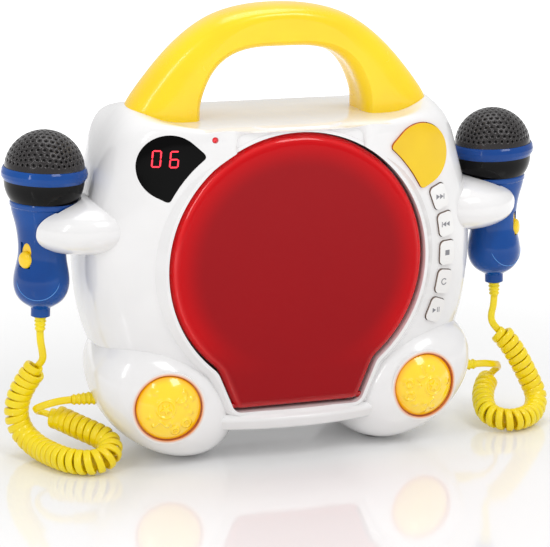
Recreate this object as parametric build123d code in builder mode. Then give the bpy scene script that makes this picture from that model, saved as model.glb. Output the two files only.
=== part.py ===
from build123d import *

import os
from math import atan, cos, degrees, hypot, pi, radians, sin, sqrt, tan

# Karaoke disc player for children: a pillow-shaped housing on two round feet, a carrying
# handle, a front lid over the disc tray, and two microphones held in the player's arms.
# Millimetres. +X is the viewer's right, -Y is the front, +Z is up. The origin is on the
# floor under the middle of the player.

os.makedirs("parts", exist_ok=True)

SIDES = (("left", -1), ("right", 1))

# ---------------------------------------------------------------- driving dimensions
wall = 2.2                    # housing wall
fit_gap = 0.3                 # gap round a button, window or plate in its hole
running_gap = 0.06            # radial clearance of a shaft in its bearing
pole_flat = 0.5               # radius of the small flat where a dome meets its axis


housing_half_width = 110.0
housing_top = 184.5           # saddle between the handle's legs
housing_bottom = 13.0
housing_waist_z = 105.0       # height of the widest place
housing_mid_y = 4.0           # depth of the widest place
housing_front_depth = 47.0
housing_back_depth = 48.0
back_plane_y = 50.5           # flat back face
front_power = 3.3             # roundness of the pillow, front half
back_power = 5.0              # roundness of the pillow, back half
top_round = 3.5               # how far the top edge drops at the front face
top_round_power = 10
shoulder_rise = 8.5           # the shoulders stand above the saddle
parting_y = 10.0              # where front and back shell meet

lid_centre_z = 109.0
lid_opening_radius = 72.0
lid_gap = 1.0
lid_rim_y = -43.0             # front plane of the bezel
lid_back_y = -34.0
lid_edge_round = 6.0
lid_wall = 2.2
tab_bottom_z = 29.3
tab_half_width = 35.5
tab_slope = 0.41              # sideways growth of the tab per millimetre of height
tab_reach_z = 60.0
tab_corner_round = 6.0
tab_neck_round = 12.0
lid_pin_radius = 1.5
lid_pin_reach = 3.6
lid_pin_y = -38.5
lid_pin_z = 32.5

bezel_width = 6.8
bezel_depth = 6.0
bezel_taper = 40.0
recess_wall = 2.0
recess_floor_y = -26.0
recess_lip = 4.0
recess_lip_depth = 2.0

chin_half_angle = 13.5
chin_front_y = -48.0
chin_ridge_z = 25.5
chin_bottom_z = 16.2
chin_bow_radius = 162.0

foot_centre_x = 67.5
foot_centre_z = 35.8
foot_long_radius = 44.0
foot_short_radius = 31.0
foot_tilt = 35.0
foot_half_depth = 46.0
foot_power = 3.0
foot_yaw = 7.0
pad_height = 1.4
pad_radius = 5.5
pad_y = 14.5
pad_offset_x = -12.8         # under the lowest line of the tilted foot

knob_radius = 17.3
knob_dome = 7.0
knob_gap = 0.9
knob_wall = 1.8
shaft_radius = 3.0
pot_radius = 8.5
pot_height = 4.5

handle_half_depth = 17.0
handle_power = 2.4
grip_gap_half_width = 46.5
grip_gap_top = 222.0
handle_top = 244.2

arm_centre_x = 107.0
arm_centre_z = 129.4
arm_radius = 33.0
arm_half_height = 15.2
arm_power = 2.3
arm_rear_reach = 122.0
mic_seat_gap = 0.4

mic_ring_x = 128.4
mic_ring_z = 158.0
mic_lean = 2.74
mic_wall = 2.0
grille_radius = 21.4
grille_wall = 1.2
grille_centre_t = 1.6
ring_radius = 23.0
ring_top_t = 3.4
ring_bottom_t = -3.6
bowl_bottom_t = -14.6
collar_radius = 18.0
neck_radius = 5.2
neck_bottom_t = -78.0
relief_end_z = 71.5
relief_radius = 3.7
switch_turn = 55.0
switch_travel = 5.0
switch_width = 6.8
switch_length = 8.0
switch_low_t = -49.5
switch_floor = 11.7
switch_knob_radius = 3.1
switch_knob_reach = 14.9

window_corner = (69.5, 164.5)
window_corner_radius = 17.2
window_tip_radius = 4.2
window_upper_tip = (55.6, 169.4)
window_lower_tip = (70.8, 150.6)
window_arc_radius = 79.3
window_tip_round = 2.0
open_button_rise = 1.3

button_ring_radius = 87.6
button_first_angle = 21.0
button_pitch_angle = 10.7
button_count = 5
button_width = 9.7
button_height = 13.4
button_round = 2.8
button_travel = 1.5

led_radius = 1.6
led_x = -46.8
led_z = 179.0
led_length = 6.0

deck_thickness = 2.0
well_radius = 62.5
well_depth = 3.0
finger_notch_radius = 15.0
turntable_radius = 15.0
turntable_thickness = 2.0
disc_hub_radius = 7.4
disc_hub_height = 3.4
spindle_radius = 1.5
motor_radius = 12.0
motor_length = 10.0
motor_flange = 2.0

rail_radius = 1.5
rail_y = -20.5
rail_half_gap = 12.0
rail_inner_x = 14.0
rail_outer_x = 64.4
rail_post = 2.4
sled_inner_x = 16.6
sled_length = 14.0
sled_height = 30.0
sled_thickness = 6.0
lens_radius = 3.8
lens_top_y = -27.4
slot_half_height = 7.5
gear_module = 0.8
gear_teeth = 12
gear_x = 20.0
gear_thickness = 3.0
tooth_play = 0.16
sled_motor_radius = 8.0
sled_motor_length = 12.0

battery_half_width = 44.0
battery_bottom_z = 50.5
battery_top_z = 103.5
battery_depth = 17.0
door_lip = 2.5
door_thickness = 2.2
door_hinge_radius = 1.1
door_pin_radius = 0.7
door_pin_reach = 1.6

speaker_z = 142.0
speaker_radius = 31.0
speaker_depth = 18.0
slot_count = 9
speaker_slot_height = 2.2
speaker_slot_pitch = 5.4

dc_x = -64.0
dc_z = 92.0
dc_radius = 3.0
dc_body = 10.0

cord_lead_radius = 1.7
coil_radius = 6.4
gland_radius = 3.8
gland_reach = 9.0
gland_y = -9.4
gland_z = 34.2

boss_x = 86.0
boss_high_z = 152.0
boss_low_z = 66.0
boss_radius = 4.2
screw_radius = 1.5
screw_head_radius = 3.0
screw_head_height = 2.2
screw_seat_y = 26.0
screw_tip_y = -4.0
board_y = 14.0
board_z = 76.0
board_half_width = 52.0
board_half_height = 30.0
board_hole_x = 38.0
board_hole_z = 18.0
board_post_radius = 3.0
board_thickness = 1.6
knob_seat = 41.5              # depth of the knob's seat along the foot's own axis
knob_back = 42.2
knob_rim = 43.7
gland_inner_x = 101.0
gland_shank = 2.6
gland_tip_x = 118.0
handle_side_tuck = 0.24
handle_top_tuck = 7.2
display_x = -69.5
display_z = 166.0
display_y = -27.0
display_width = 18.0
display_height = 12.0
display_thickness = 1.8
led_front_y = -42.4
open_button_back_y = -28.8
button_back_y = -29.0
key_board_y = -25.0
key_board_half_width = 6.5
key_board_reach = 36.5        # half of the board's height
latch_y = -31.4
latch_angle = 41.0
latch_tip_gap = 0.3           # the tip stops this short of the lid's edge
latch_length = 5.6
latch_width = 8.0
latch_thickness = 3.6
clamp_radius = 14.0
clamp_height = 3.5
tray_gap = 0.15
turntable_y = -27.2
slot_inner_x = 12.0
slot_outer_x = 63.0
rack_drop = 4.0
rack_length = 35.0
gear_shaft = 10.0
cell_count = 6
cell_pitch = 14.6
dc_depth = 9.0
relief_shank = 2.6
switch_plate = 1.4


# ---------------------------------------------------------------- shared geometry
def facing(y):
    """The plane at depth y that looks out of the front: its x is X and its y is Z."""
    return Plane.XZ.offset(-y)


def roundness(share, power):
    """How wide a pillow still is at a share of its depth: 1 in the middle, 0 at the face."""
    return (1 - abs(share) ** power) ** (1 / power)


def housing_points(y, thickness=0.0):
    """Right half of the housing's outline at depth y, from the saddle round to the bottom."""
    front = y < housing_mid_y
    depth = (housing_front_depth if front else housing_back_depth) - thickness
    share = abs(y - housing_mid_y) / depth
    spread = roundness(share, front_power if front else back_power)
    across = spread * (housing_half_width - thickness) / housing_half_width
    top = housing_top - thickness - top_round * share**top_round_power
    rise = shoulder_rise * (1 - share)
    drop = spread * (housing_waist_z - housing_bottom - thickness)
    return [
        (0, top),
        (47 * across, top),
        (70 * across, top + 0.32 * rise),
        (84 * across, top + rise),
        (90.5 * across, top + 0.25 * rise),
        (101.5 * across, top - 23),
        (107.5 * across, top - 45),
        (110 * across, housing_waist_z),
        (105.5 * across, housing_waist_z - 0.38 * drop),
        (92 * across, housing_waist_z - 0.70 * drop),
        (66 * across, housing_waist_z - 0.92 * drop),
        (30 * across, housing_waist_z - 0.99 * drop),
        (0, housing_waist_z - drop),
    ]


def pillow(thickness=0.0):
    """The housing as a solid, with its surface moved in by a thickness."""
    front = housing_front_depth - thickness
    last = back_plane_y - housing_mid_y - thickness
    places = [housing_mid_y - front * share for share in (0.9915, 0.95, 0.87, 0.73, 0.5, 0.22)]
    places += [housing_mid_y + last * share for share in (0.15, 0.45, 0.7, 0.86, 0.95, 1)]
    with BuildPart() as blank:
        for y in places:
            with BuildSketch(facing(y)):
                with BuildLine():
                    Spline(*housing_points(y, thickness), tangents=((1, 0), (-1, 0)))
                    mirror(about=Plane.YZ)
                make_face()
        loft()
    return blank.part


def lid_outline(grow=0.0):
    """The lid opening, a circle with a tab below, made larger by a margin."""
    reach = tab_half_width + tab_slope * (tab_reach_z - tab_bottom_z)
    with BuildSketch() as outline:
        with Locations((0, lid_centre_z)):
            Circle(lid_opening_radius)
        with BuildLine():
            Polyline(
                (-tab_half_width, tab_bottom_z),
                (tab_half_width, tab_bottom_z),
                (reach, tab_reach_z),
                (-reach, tab_reach_z),
                close=True,
            )
        make_face()
        corners = outline.vertices().sort_by(Axis.Y)
        fillet(corners[0:2], radius=tab_corner_round)
        necks = [v for v in outline.vertices() if tab_bottom_z + 12 < v.Y < tab_reach_z + 8]
        fillet(necks, radius=tab_neck_round)
        if grow:
            offset(amount=grow, kind=Kind.ARC)
    return outline.sketch


def foot_plane(side):
    """The plane across a foot's middle, turned out to the side, looking out of the front."""
    turn = radians(foot_yaw)
    return Plane(
        origin=(side * foot_centre_x, 0, foot_centre_z),
        x_dir=(cos(turn), side * sin(turn), 0),
        z_dir=(side * sin(turn), -cos(turn), 0),
    )


def foot_form(side, thickness=0.0):
    """A foot's egg shape as a solid, with its surface moved in by a thickness."""
    half = foot_half_depth - thickness
    with BuildPart() as form:
        for share in (-0.97, -0.85, -0.6, -0.25, 0.25, 0.6, 0.85, 0.97, 0.995):
            spread = roundness(share, foot_power)
            with BuildSketch(foot_plane(side).offset(share * half)):
                Ellipse(
                    (foot_long_radius - thickness) * spread,
                    (foot_short_radius - thickness) * spread,
                    rotation=side * foot_tilt,
                )
        loft()
    return form.part


def mic_plane(side):
    """A microphone's lengthwise plane: x points across it and y runs up its axis."""
    lean = radians(mic_lean)
    return Plane(
        origin=(side * mic_ring_x, 0, mic_ring_z),
        x_dir=(cos(lean), 0, side * sin(lean)),
        z_dir=(0, -1, 0),
    )


def mic_axis(side):
    """The microphone's own axis, pointing up."""
    plane = mic_plane(side)
    return Axis(plane.origin, plane.y_dir)


def grip_points(grow=0.0):
    """Outer profile of a microphone's handle, as radius and height on its axis."""
    return [
        (17.4 + grow, -17.8),
        (15.3 + grow, -26),
        (13.4 + grow, -35),
        (13.0 + grow, -45),
        (15.0 + grow, -58),
        (13.9 + grow, -65),
        (10.0 + grow, -70.2),
        (neck_radius + grow, -73.5),
    ]


def mic_switch_plane(side):
    """The plane through a microphone's axis that faces its switch; y runs up the axis."""
    plane = mic_plane(side)
    turn = radians(switch_turn)
    out = plane.x_dir * (side * sin(turn)) + plane.z_dir * cos(turn)
    return Plane(plane.origin, x_dir=plane.y_dir.cross(out), z_dir=out)


def knob_bulge(radius, height):
    """A point half way up a knob's dome, as radius and height above its rim."""
    ball = (radius**2 + height**2) / (2 * height)
    return radius * 0.6, sqrt(ball**2 - (radius * 0.6) ** 2) - (ball - height)


def window_outline(side, grow=0.0):
    """The rounded shield shape of the window and of the open button, made larger by a margin."""
    inner_arc = window_arc_radius - grow
    with BuildSketch() as shield:
        with Locations((side * window_corner[0], window_corner[1])):
            Circle(window_corner_radius + grow)
        with Locations((side * window_upper_tip[0], window_upper_tip[1])):
            Circle(window_tip_radius + grow)
        with Locations((side * window_lower_tip[0], window_lower_tip[1])):
            Circle(window_tip_radius + grow)
        make_hull()
        with Locations((0, lid_centre_z)):
            Circle(inner_arc, mode=Mode.SUBTRACT)
        tips = [v for v in shield.vertices() if hypot(v.X, v.Y - lid_centre_z) < inner_arc + 0.1]
        fillet(tips, radius=window_tip_round + grow)
    return shield.sketch


def latch_outline(grow=0.0):
    """The latch seen from the front, on a line from the lid's centre towards the open button."""
    reach = lid_opening_radius - lid_gap + latch_tip_gap + latch_length / 2
    with BuildSketch() as outline:
        with Locations(Location((0, lid_centre_z, 0), (0, 0, latch_angle))):
            with Locations((reach, 0)):
                Rectangle(latch_length + 4 * grow, latch_width + 2 * grow)
    return outline.sketch


# ---------------------------------------------------------------- housing forms
with BuildPart() as bezel:
    with BuildSketch(facing(lid_rim_y + bezel_depth)):
        add(lid_outline(bezel_width))
    extrude(amount=bezel_depth, taper=bezel_taper)
    with BuildSketch(Plane.YZ.offset(-housing_half_width)):
        with BuildLine():
            Polyline(
                (lid_rim_y + bezel_depth, housing_top - 0.4),
                (lid_rim_y + 3, housing_top - 1.2),
                (lid_rim_y + 0.8, housing_top - 2.4),
                (lid_rim_y - 1, housing_top - 3.4),
                (lid_rim_y - 1, housing_top + 20),
                (lid_rim_y + bezel_depth, housing_top + 20),
                close=True,
            )
        make_face()
    extrude(amount=2 * housing_half_width, mode=Mode.SUBTRACT)

chin_axis = Axis((0, chin_front_y + chin_bow_radius, 0), (0, 0, 1))
with BuildPart() as chin:
    with BuildSketch(Plane.YZ):
        with BuildLine():
            Polyline(
                (-20, tab_bottom_z + 1.2),
                (lid_rim_y, tab_bottom_z + 1.2),
                (chin_front_y, chin_ridge_z),
                (chin_front_y + 2.5, chin_bottom_z + 3.5),
                (chin_front_y + 13, chin_bottom_z),
                (-20, chin_bottom_z),
                close=True,
            )
        make_face()
    revolve(axis=chin_axis, revolution_arc=2 * chin_half_angle)

skin_form = pillow()
hollow_form = pillow(wall)
with BuildPart() as outer_form:
    add(skin_form)
    add(bezel.part)
    add(chin.part.rotate(chin_axis, -chin_half_angle))

boss_places = [(side * x, z) for _, side in SIDES for x, z in ((boss_x, boss_high_z), (boss_x, boss_low_z))]


def button_locations():
    """Places of the function buttons, on an arc round the lid, turned with the arc."""
    places = []
    for number in range(button_count):
        angle = button_first_angle - number * button_pitch_angle
        x = button_ring_radius * cos(radians(angle))
        z = lid_centre_z + button_ring_radius * sin(radians(angle))
        places.append(Location((x, z, 0), (0, 0, angle)))
    return places


# The housing's hollow leaves out the recess round the lid, the battery bay, the screw bosses
# and the board's posts, so the two shells keep them as walls.
bay_floor_y = back_plane_y - battery_depth
bay_mid_z = (battery_bottom_z + battery_top_z) / 2
bay_height = battery_top_z - battery_bottom_z
door_mid_y = back_plane_y - door_thickness / 2
door_low_z = battery_bottom_z - door_lip + fit_gap + door_hinge_radius
with BuildPart() as cavity:
    add(hollow_form)
    with BuildSketch(facing(recess_floor_y + recess_lip_depth)):
        add(lid_outline(recess_wall))
    extrude(amount=60, mode=Mode.SUBTRACT)
    with BuildSketch(facing(back_plane_y + 5)):
        with Locations(*boss_places):
            Circle(boss_radius)
    extrude(amount=120, mode=Mode.SUBTRACT)
    with BuildSketch(facing(back_plane_y + 5)):
        with Locations((0, bay_mid_z)):
            Rectangle(2 * (battery_half_width + door_lip + wall), bay_height + 2 * (door_lip + wall))
    extrude(amount=battery_depth + wall + 5, mode=Mode.SUBTRACT)
    with BuildSketch(facing(bay_floor_y)):
        with Locations((0, board_z)):
            with GridLocations(2 * board_hole_x, 2 * board_hole_z, 2, 2):
                Circle(board_post_radius)
    extrude(amount=bay_floor_y - board_y, mode=Mode.SUBTRACT)

# ---------------------------------------------------------------- front shell
with BuildPart() as front_shell:
    add(outer_form.part)
    split(bisect_by=facing(parting_y), keep=Keep.TOP)
    add(cavity.part, mode=Mode.SUBTRACT)
    with BuildSketch(facing(recess_floor_y)):
        add(lid_outline())
    extrude(amount=60, mode=Mode.SUBTRACT)
    with BuildSketch(facing(recess_floor_y + recess_lip_depth + 1)):
        add(lid_outline(-recess_lip))
    extrude(amount=60, mode=Mode.SUBTRACT)
    with BuildSketch(facing(parting_y)):
        with Locations(*boss_places):
            Circle(screw_radius + running_gap)
    extrude(amount=parting_y - screw_tip_y + 2, mode=Mode.SUBTRACT)
    with BuildSketch(facing(lid_back_y + 8)):
        add(window_outline(-1))
        add(window_outline(1, fit_gap))
        with Locations((led_x, led_z)):
            Circle(led_radius + running_gap)
        with Locations(*button_locations()):
            RectangleRounded(button_width + 2 * fit_gap, button_height + 2 * fit_gap, button_round)
    extrude(amount=60, mode=Mode.SUBTRACT)
    with BuildSketch(facing(latch_y + fit_gap)):
        add(latch_outline(fit_gap))
    extrude(amount=latch_thickness + 2 * fit_gap, mode=Mode.SUBTRACT)
    with BuildSketch(Plane.YZ.offset(-tab_half_width - lid_pin_reach)):
        with Locations((lid_pin_y, lid_pin_z)):
            Circle(lid_pin_radius + running_gap)
    extrude(amount=2 * (tab_half_width + lid_pin_reach), mode=Mode.SUBTRACT)
front_shell.part.label = "front_shell"
export_step(front_shell.part, "parts/front_shell.step")

# ---------------------------------------------------------------- back shell
with BuildPart() as back_shell:
    add(outer_form.part)
    split(bisect_by=facing(parting_y), keep=Keep.BOTTOM)
    add(cavity.part, mode=Mode.SUBTRACT)
    with BuildSketch(facing(back_plane_y + 1)):
        with Locations((0, bay_mid_z)):
            Rectangle(2 * battery_half_width, bay_height)
    extrude(amount=battery_depth + 1, mode=Mode.SUBTRACT)
    with BuildSketch(facing(back_plane_y + 1)):
        with Locations((0, bay_mid_z)):
            Rectangle(2 * (battery_half_width + door_lip), bay_height + 2 * door_lip)
    extrude(amount=1 + door_thickness + fit_gap, mode=Mode.SUBTRACT)
    with BuildSketch(Plane.YZ.offset(-battery_half_width - door_lip - door_pin_reach)):
        with Locations((door_mid_y, door_low_z)):
            Circle(door_pin_radius + running_gap)
    extrude(amount=2 * (battery_half_width + door_lip + door_pin_reach), mode=Mode.SUBTRACT)
    with BuildSketch(facing(back_plane_y + 1)):
        for row in range(slot_count):
            height = (row - (slot_count - 1) / 2) * speaker_slot_pitch
            reach = sqrt((speaker_radius - 4) ** 2 - height**2)
            with Locations((0, speaker_z + height)):
                SlotOverall(2 * reach, speaker_slot_height)
        with Locations((dc_x, dc_z)):
            Circle(dc_radius + 1)
    extrude(amount=wall + 2, mode=Mode.SUBTRACT)
    with BuildSketch(facing(back_plane_y + 1)):
        with Locations(*boss_places):
            Circle(screw_radius + running_gap)
    extrude(amount=60, mode=Mode.SUBTRACT)
    with BuildSketch(facing(back_plane_y + 1)):
        with Locations(*boss_places):
            Circle(screw_head_radius + fit_gap)
    extrude(amount=back_plane_y + 1 - screw_seat_y, mode=Mode.SUBTRACT)
back_shell.part.label = "back_shell"
export_step(back_shell.part, "parts/back_shell.step")

with BuildPart() as housing_screws:
    with BuildSketch(facing(screw_seat_y)):
        with Locations(*boss_places):
            Circle(screw_radius)
    extrude(amount=screw_seat_y - screw_tip_y)
    with BuildSketch(facing(screw_seat_y + screw_head_height)):
        with Locations(*boss_places):
            Circle(screw_head_radius)
    extrude(amount=screw_head_height)
housing_screws.part.label = "housing_screws"
export_step(housing_screws.part, "parts/housing_screws.step")

# ---------------------------------------------------------------- feet, knobs and controls
for name, side in SIDES:
    plane = foot_plane(side)
    gland_line = Plane(origin=(side * gland_inner_x, gland_y, gland_z), z_dir=(side, 0, 0))
    outer_foot = foot_form(side)
    with BuildPart() as foot_shell:
        add(outer_foot)
        add(foot_form(side, wall), mode=Mode.SUBTRACT)
        with BuildSketch(plane.offset(knob_seat - knob_wall)):
            Circle(knob_radius + knob_gap + knob_wall)
        extrude(amount=foot_half_depth - knob_seat)
        with BuildSketch(plane.offset(knob_seat)):
            Circle(knob_radius + knob_gap)
        extrude(amount=20, mode=Mode.SUBTRACT)
        with BuildSketch(plane.offset(knob_seat - 10)):
            Circle(shaft_radius + fit_gap)
        extrude(amount=20, mode=Mode.SUBTRACT)
        add(outer_form.part, mode=Mode.SUBTRACT)
        with BuildSketch(gland_line):
            Circle(gland_shank)
        extrude(amount=20, mode=Mode.SUBTRACT)
        split(bisect_by=Plane.XY.offset(pad_height), keep=Keep.TOP)
    foot_shell.part.label = f"{name}_foot_shell"
    export_step(foot_shell.part, f"parts/{name}_foot_shell.step")

    with BuildPart() as potentiometer:
        with BuildSketch(plane.offset(knob_seat - knob_wall)):
            Circle(pot_radius)
            Circle(shaft_radius + running_gap, mode=Mode.SUBTRACT)
        extrude(amount=-pot_height)
    potentiometer.part.label = f"{name}_potentiometer"
    export_step(potentiometer.part, f"parts/{name}_potentiometer.step")

    dome_bulge = knob_bulge(knob_radius, knob_dome)
    knob_top = knob_rim + knob_dome
    with BuildPart() as knob:
        with BuildSketch(Plane(plane.origin, x_dir=plane.x_dir, z_dir=(0, 0, 1))):
            with BuildLine():
                rim = Line((0, -knob_back), (knob_radius, -knob_back))
                skirt = Line(rim @ 1, (knob_radius, -knob_rim))
                half_way = (dome_bulge[0], -knob_rim - dome_bulge[1])
                crown = ThreePointArc(skirt @ 1, half_way, (pole_flat, -knob_top))
                Polyline(crown @ 1, (0, -knob_top), (0, -knob_back))
            make_face()
        revolve(axis=Axis(plane.origin, plane.z_dir))
        with BuildSketch(plane.offset(knob_back)):
            Circle(knob_radius - knob_wall)
            Circle(shaft_radius + knob_wall, mode=Mode.SUBTRACT)
        extrude(amount=knob_rim - knob_back, mode=Mode.SUBTRACT)
        with BuildSketch(plane.offset(knob_back)):
            Circle(shaft_radius)
        extrude(amount=knob_seat - knob_wall - pot_height + 1.5 - knob_back)
    knob.part.label = f"{name}_knob"
    export_step(knob.part, f"parts/{name}_knob.step")

    with BuildPart() as cord_gland:
        with BuildSketch(Plane(origin=(0, gland_y, gland_z), x_dir=(side, 0, 0), z_dir=(0, -side, 0))):
            with BuildLine():
                Polyline(
                    (gland_inner_x + 3, 0),
                    (gland_inner_x + 3, gland_radius),
                    (gland_tip_x - gland_reach + 2, gland_radius),
                    (gland_tip_x, gland_radius - 1.4),
                    (gland_tip_x, 0),
                    close=True,
                )
            make_face()
        revolve(axis=Axis((0, gland_y, gland_z), (1, 0, 0)))
        add(outer_foot, mode=Mode.SUBTRACT)
        with BuildSketch(gland_line):
            Circle(gland_shank)
        extrude(amount=gland_tip_x - gland_inner_x - 2)
    cord_gland.part.label = f"{name}_cord_gland"
    export_step(cord_gland.part, f"parts/{name}_cord_gland.step")

with BuildPart() as foot_pads:
    with BuildSketch(Plane.XY):
        with GridLocations(2 * (foot_centre_x + pad_offset_x), 2 * pad_y, 2, 2):
            Circle(pad_radius)
    extrude(amount=pad_height)
foot_pads.part.label = "foot_pads"
export_step(foot_pads.part, "parts/foot_pads.step")

# ---------------------------------------------------------------- handle
def handle_points(share):
    """Outer outline of the handle at a share of its half depth, from the top down the side."""
    tuck = 1 - roundness(share, handle_power)
    across = 1 - handle_side_tuck * tuck
    top = handle_top - handle_top_tuck * tuck
    return [
        (0, top),
        (21 * across, top - 1.7),
        (36 * across, top - 6.0),
        (48.5 * across, top - 13.0),
        (61 * across, top - 23.5),
        (74 * across, top - 38),
        (84 * across, housing_top + shoulder_rise - 1),
        (86 * across, housing_top - 8),
    ]


def grip_gap_points(grow):
    """Inner outline of the handle, from the top down the side."""
    half = grip_gap_half_width + grow
    top = grip_gap_top + grow
    return [
        (0, top),
        (0.33 * half, top - 0.4),
        (0.6 * half, top - 3.6),
        (0.78 * half, top - 9.6),
        (0.9 * half, top - 18),
        (0.975 * half, top - 27.5),
        (half, housing_top - 10),
    ]


def arch(points):
    """A closed outline from the right half of an arch."""
    with BuildSketch() as outline:
        with BuildLine():
            half = Spline(*points, tangents=((1, 0), (0.05, -1)))
            Line(half @ 1, (0, (half @ 1).Y))
            mirror(about=Plane.YZ)
        make_face()
    return outline.sketch


with BuildPart() as grip_gap:
    for share, grow in (
        (-1.06, 4.5), (-0.93, 2.0), (-0.7, 0.2), (0, 0), (0.7, 0.2), (0.93, 2.0), (1.06, 4.5),
    ):
        with BuildSketch(facing(share * handle_half_depth)):
            add(arch(grip_gap_points(grow)))
    loft()

with BuildPart() as handle:
    for share in (-1, -0.96, -0.85, -0.6, -0.25, 0.25, 0.6, 0.85, 0.96, 1):
        with BuildSketch(facing(share * handle_half_depth)):
            add(arch(handle_points(share)))
    loft()
    add(grip_gap.part, mode=Mode.SUBTRACT)
    add(skin_form, mode=Mode.SUBTRACT)
handle.part.label = "handle"
export_step(handle.part, "parts/handle.step")

# ---------------------------------------------------------------- arms that hold the microphones
for name, side in SIDES:
    lobe_points = []
    for step in range(1, 8):
        turn = radians(step * 90 / 8)
        across = arm_radius * cos(turn) ** (2 / arm_power)
        lobe_points.append((across, arm_half_height * sin(turn) ** (2 / arm_power)))
    with BuildPart() as arm:
        arm_middle = (side * arm_centre_x, 0, arm_centre_z)
        with BuildSketch(Plane(origin=arm_middle, x_dir=(1, 0, 0), z_dir=(0, -1, 0))):
            with BuildLine():
                points = [(0, arm_half_height)] + lobe_points[::-1] + [(arm_radius, 0)]
                Spline(*points, tangents=((1, 0), (0, -1)))
                mirror(about=Plane.XZ)
                Line((0, arm_half_height), (0, -arm_half_height))
            make_face()
        revolve(axis=Axis((side * arm_centre_x, 0, 0), (0, 0, 1)))
        add(skin_form, mode=Mode.SUBTRACT)
        with BuildSketch(mic_plane(side)):
            with BuildLine():
                seat = grip_points(mic_seat_gap)
                Polyline(
                    (0, -5), (collar_radius + 4, -5), (collar_radius + 1, -16), (collar_radius + 1, -18.2)
                )
                Line((collar_radius + 1, -18.2), (seat[0][0], -18.2))
                Polyline((seat[0][0], -18.2), *seat[1:5], (seat[4][0], -62), (0, -62), (0, -5))
            make_face()
        revolve(axis=mic_axis(side), mode=Mode.SUBTRACT)
        beside_mic = (side * (mic_ring_x + 1), 0, mic_ring_z)
        across_plane = Plane(origin=beside_mic, x_dir=(0, 1, 0), z_dir=(1, 0, 0))
        with BuildSketch(across_plane):
            with BuildLine():
                Polyline(
                    (0, -5), (collar_radius + 4, -5), (collar_radius + 1, -16), (collar_radius + 1, -18.2)
                )
                Line((collar_radius + 1, -18.2), (seat[0][0], -18.2))
                Polyline((seat[0][0], -18.2), *seat[1:5], (seat[4][0], -62), (0, -62))
                mirror(about=Plane.YZ)
            make_face()
        extrude(amount=side * 30, mode=Mode.SUBTRACT)
        with Locations((side * (arm_rear_reach + 20), 25, arm_centre_z)):
            Box(40, 50, 40, mode=Mode.SUBTRACT)
    arm.part.label = f"{name}_arm"
    export_step(arm.part, f"parts/{name}_arm.step")

# ---------------------------------------------------------------- window, lamp and buttons
with BuildPart() as display_window:
    with BuildSketch(facing(lid_back_y + 8)):
        add(window_outline(-1, -fit_gap / 2))
    extrude(amount=40)
    add(skin_form, mode=Mode.INTERSECT)
    add(hollow_form, mode=Mode.SUBTRACT)
display_window.part.label = "display_window"
export_step(display_window.part, "parts/display_window.step")

with BuildPart() as display_module:
    with BuildSketch(facing(display_y)):
        with Locations((display_x, display_z)):
            Rectangle(display_width, display_height)
    extrude(amount=display_thickness)
    with BuildSketch(facing(display_y)):
        with Locations((display_x, display_z)):
            Rectangle(display_width + 6, display_height + 4)
    extrude(amount=-board_thickness)
display_module.part.label = "display_module"
export_step(display_module.part, "parts/display_module.step")

with BuildPart() as power_led:
    with BuildSketch(facing(led_front_y + led_length)):
        with Locations((led_x, led_z)):
            Circle(led_radius)
    extrude(amount=led_length)
    fillet(power_led.faces().sort_by(Axis.Y)[0].edges(), radius=led_radius * 0.8)
power_led.part.label = "power_led"
export_step(power_led.part, "parts/power_led.step")

proud_form = pillow(-open_button_rise)
with BuildPart() as open_button:
    with BuildSketch(facing(open_button_back_y)):
        add(window_outline(1))
    extrude(amount=40)
    add(proud_form, mode=Mode.INTERSECT)
open_button.part.label = "open_button"
export_step(open_button.part, "parts/open_button.step")

for number, place in enumerate(button_locations()):
    with BuildPart() as button:
        with BuildSketch(facing(button_back_y)):
            with Locations(place):
                RectangleRounded(button_width, button_height, button_round)
        extrude(amount=40)
        add(proud_form, mode=Mode.INTERSECT)
    button.part.label = f"function_button_{number + 1}"
    export_step(button.part, f"parts/function_button_{number + 1}.step")

with BuildPart() as key_board:
    with BuildSketch(facing(key_board_y)):
        with Locations((0, lid_centre_z)):
            Circle(button_ring_radius + key_board_half_width)
            Circle(button_ring_radius - key_board_half_width, mode=Mode.SUBTRACT)
        with Locations((button_ring_radius, lid_centre_z)):
            Rectangle(60, 2 * key_board_reach, mode=Mode.INTERSECT)
    extrude(amount=-board_thickness)
    with BuildSketch(facing(key_board_y)):
        with Locations(*button_locations()):
            Circle(2.5)
    extrude(amount=key_board_y - button_back_y - button_travel - 0.3)
key_board.part.label = "key_board"
export_step(key_board.part, "parts/key_board.step")

with BuildPart() as latch:
    with BuildSketch(facing(latch_y)):
        add(latch_outline())
    extrude(amount=latch_thickness)
latch.part.label = "latch"
export_step(latch.part, "parts/latch.step")

# ---------------------------------------------------------------- lid
with BuildPart() as lid:
    with BuildSketch(facing(lid_back_y)):
        add(lid_outline(-lid_gap))
    extrude(amount=lid_back_y - lid_rim_y)
    front_face = lid.faces().sort_by(Axis.Y)[0]
    fillet(front_face.edges(), radius=lid_edge_round)
    with BuildSketch(facing(lid_back_y)):
        add(lid_outline(-lid_gap - lid_wall))
    extrude(amount=lid_back_y - lid_rim_y - lid_wall, mode=Mode.SUBTRACT)
    with BuildSketch(facing(lid_rim_y + lid_wall)):
        with Locations((0, lid_centre_z)):
            Circle(clamp_radius)
            Circle(clamp_radius - 2, mode=Mode.SUBTRACT)
    extrude(amount=-clamp_height)
    for side in (-1, 1):
        with BuildSketch(Plane.YZ.offset(side * (tab_half_width - 5))):
            with Locations((lid_pin_y, lid_pin_z)):
                Circle(lid_pin_radius)
        extrude(amount=side * (lid_pin_reach + 3))
lid.part.label = "lid"
export_step(lid.part, "parts/lid.step")

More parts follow.
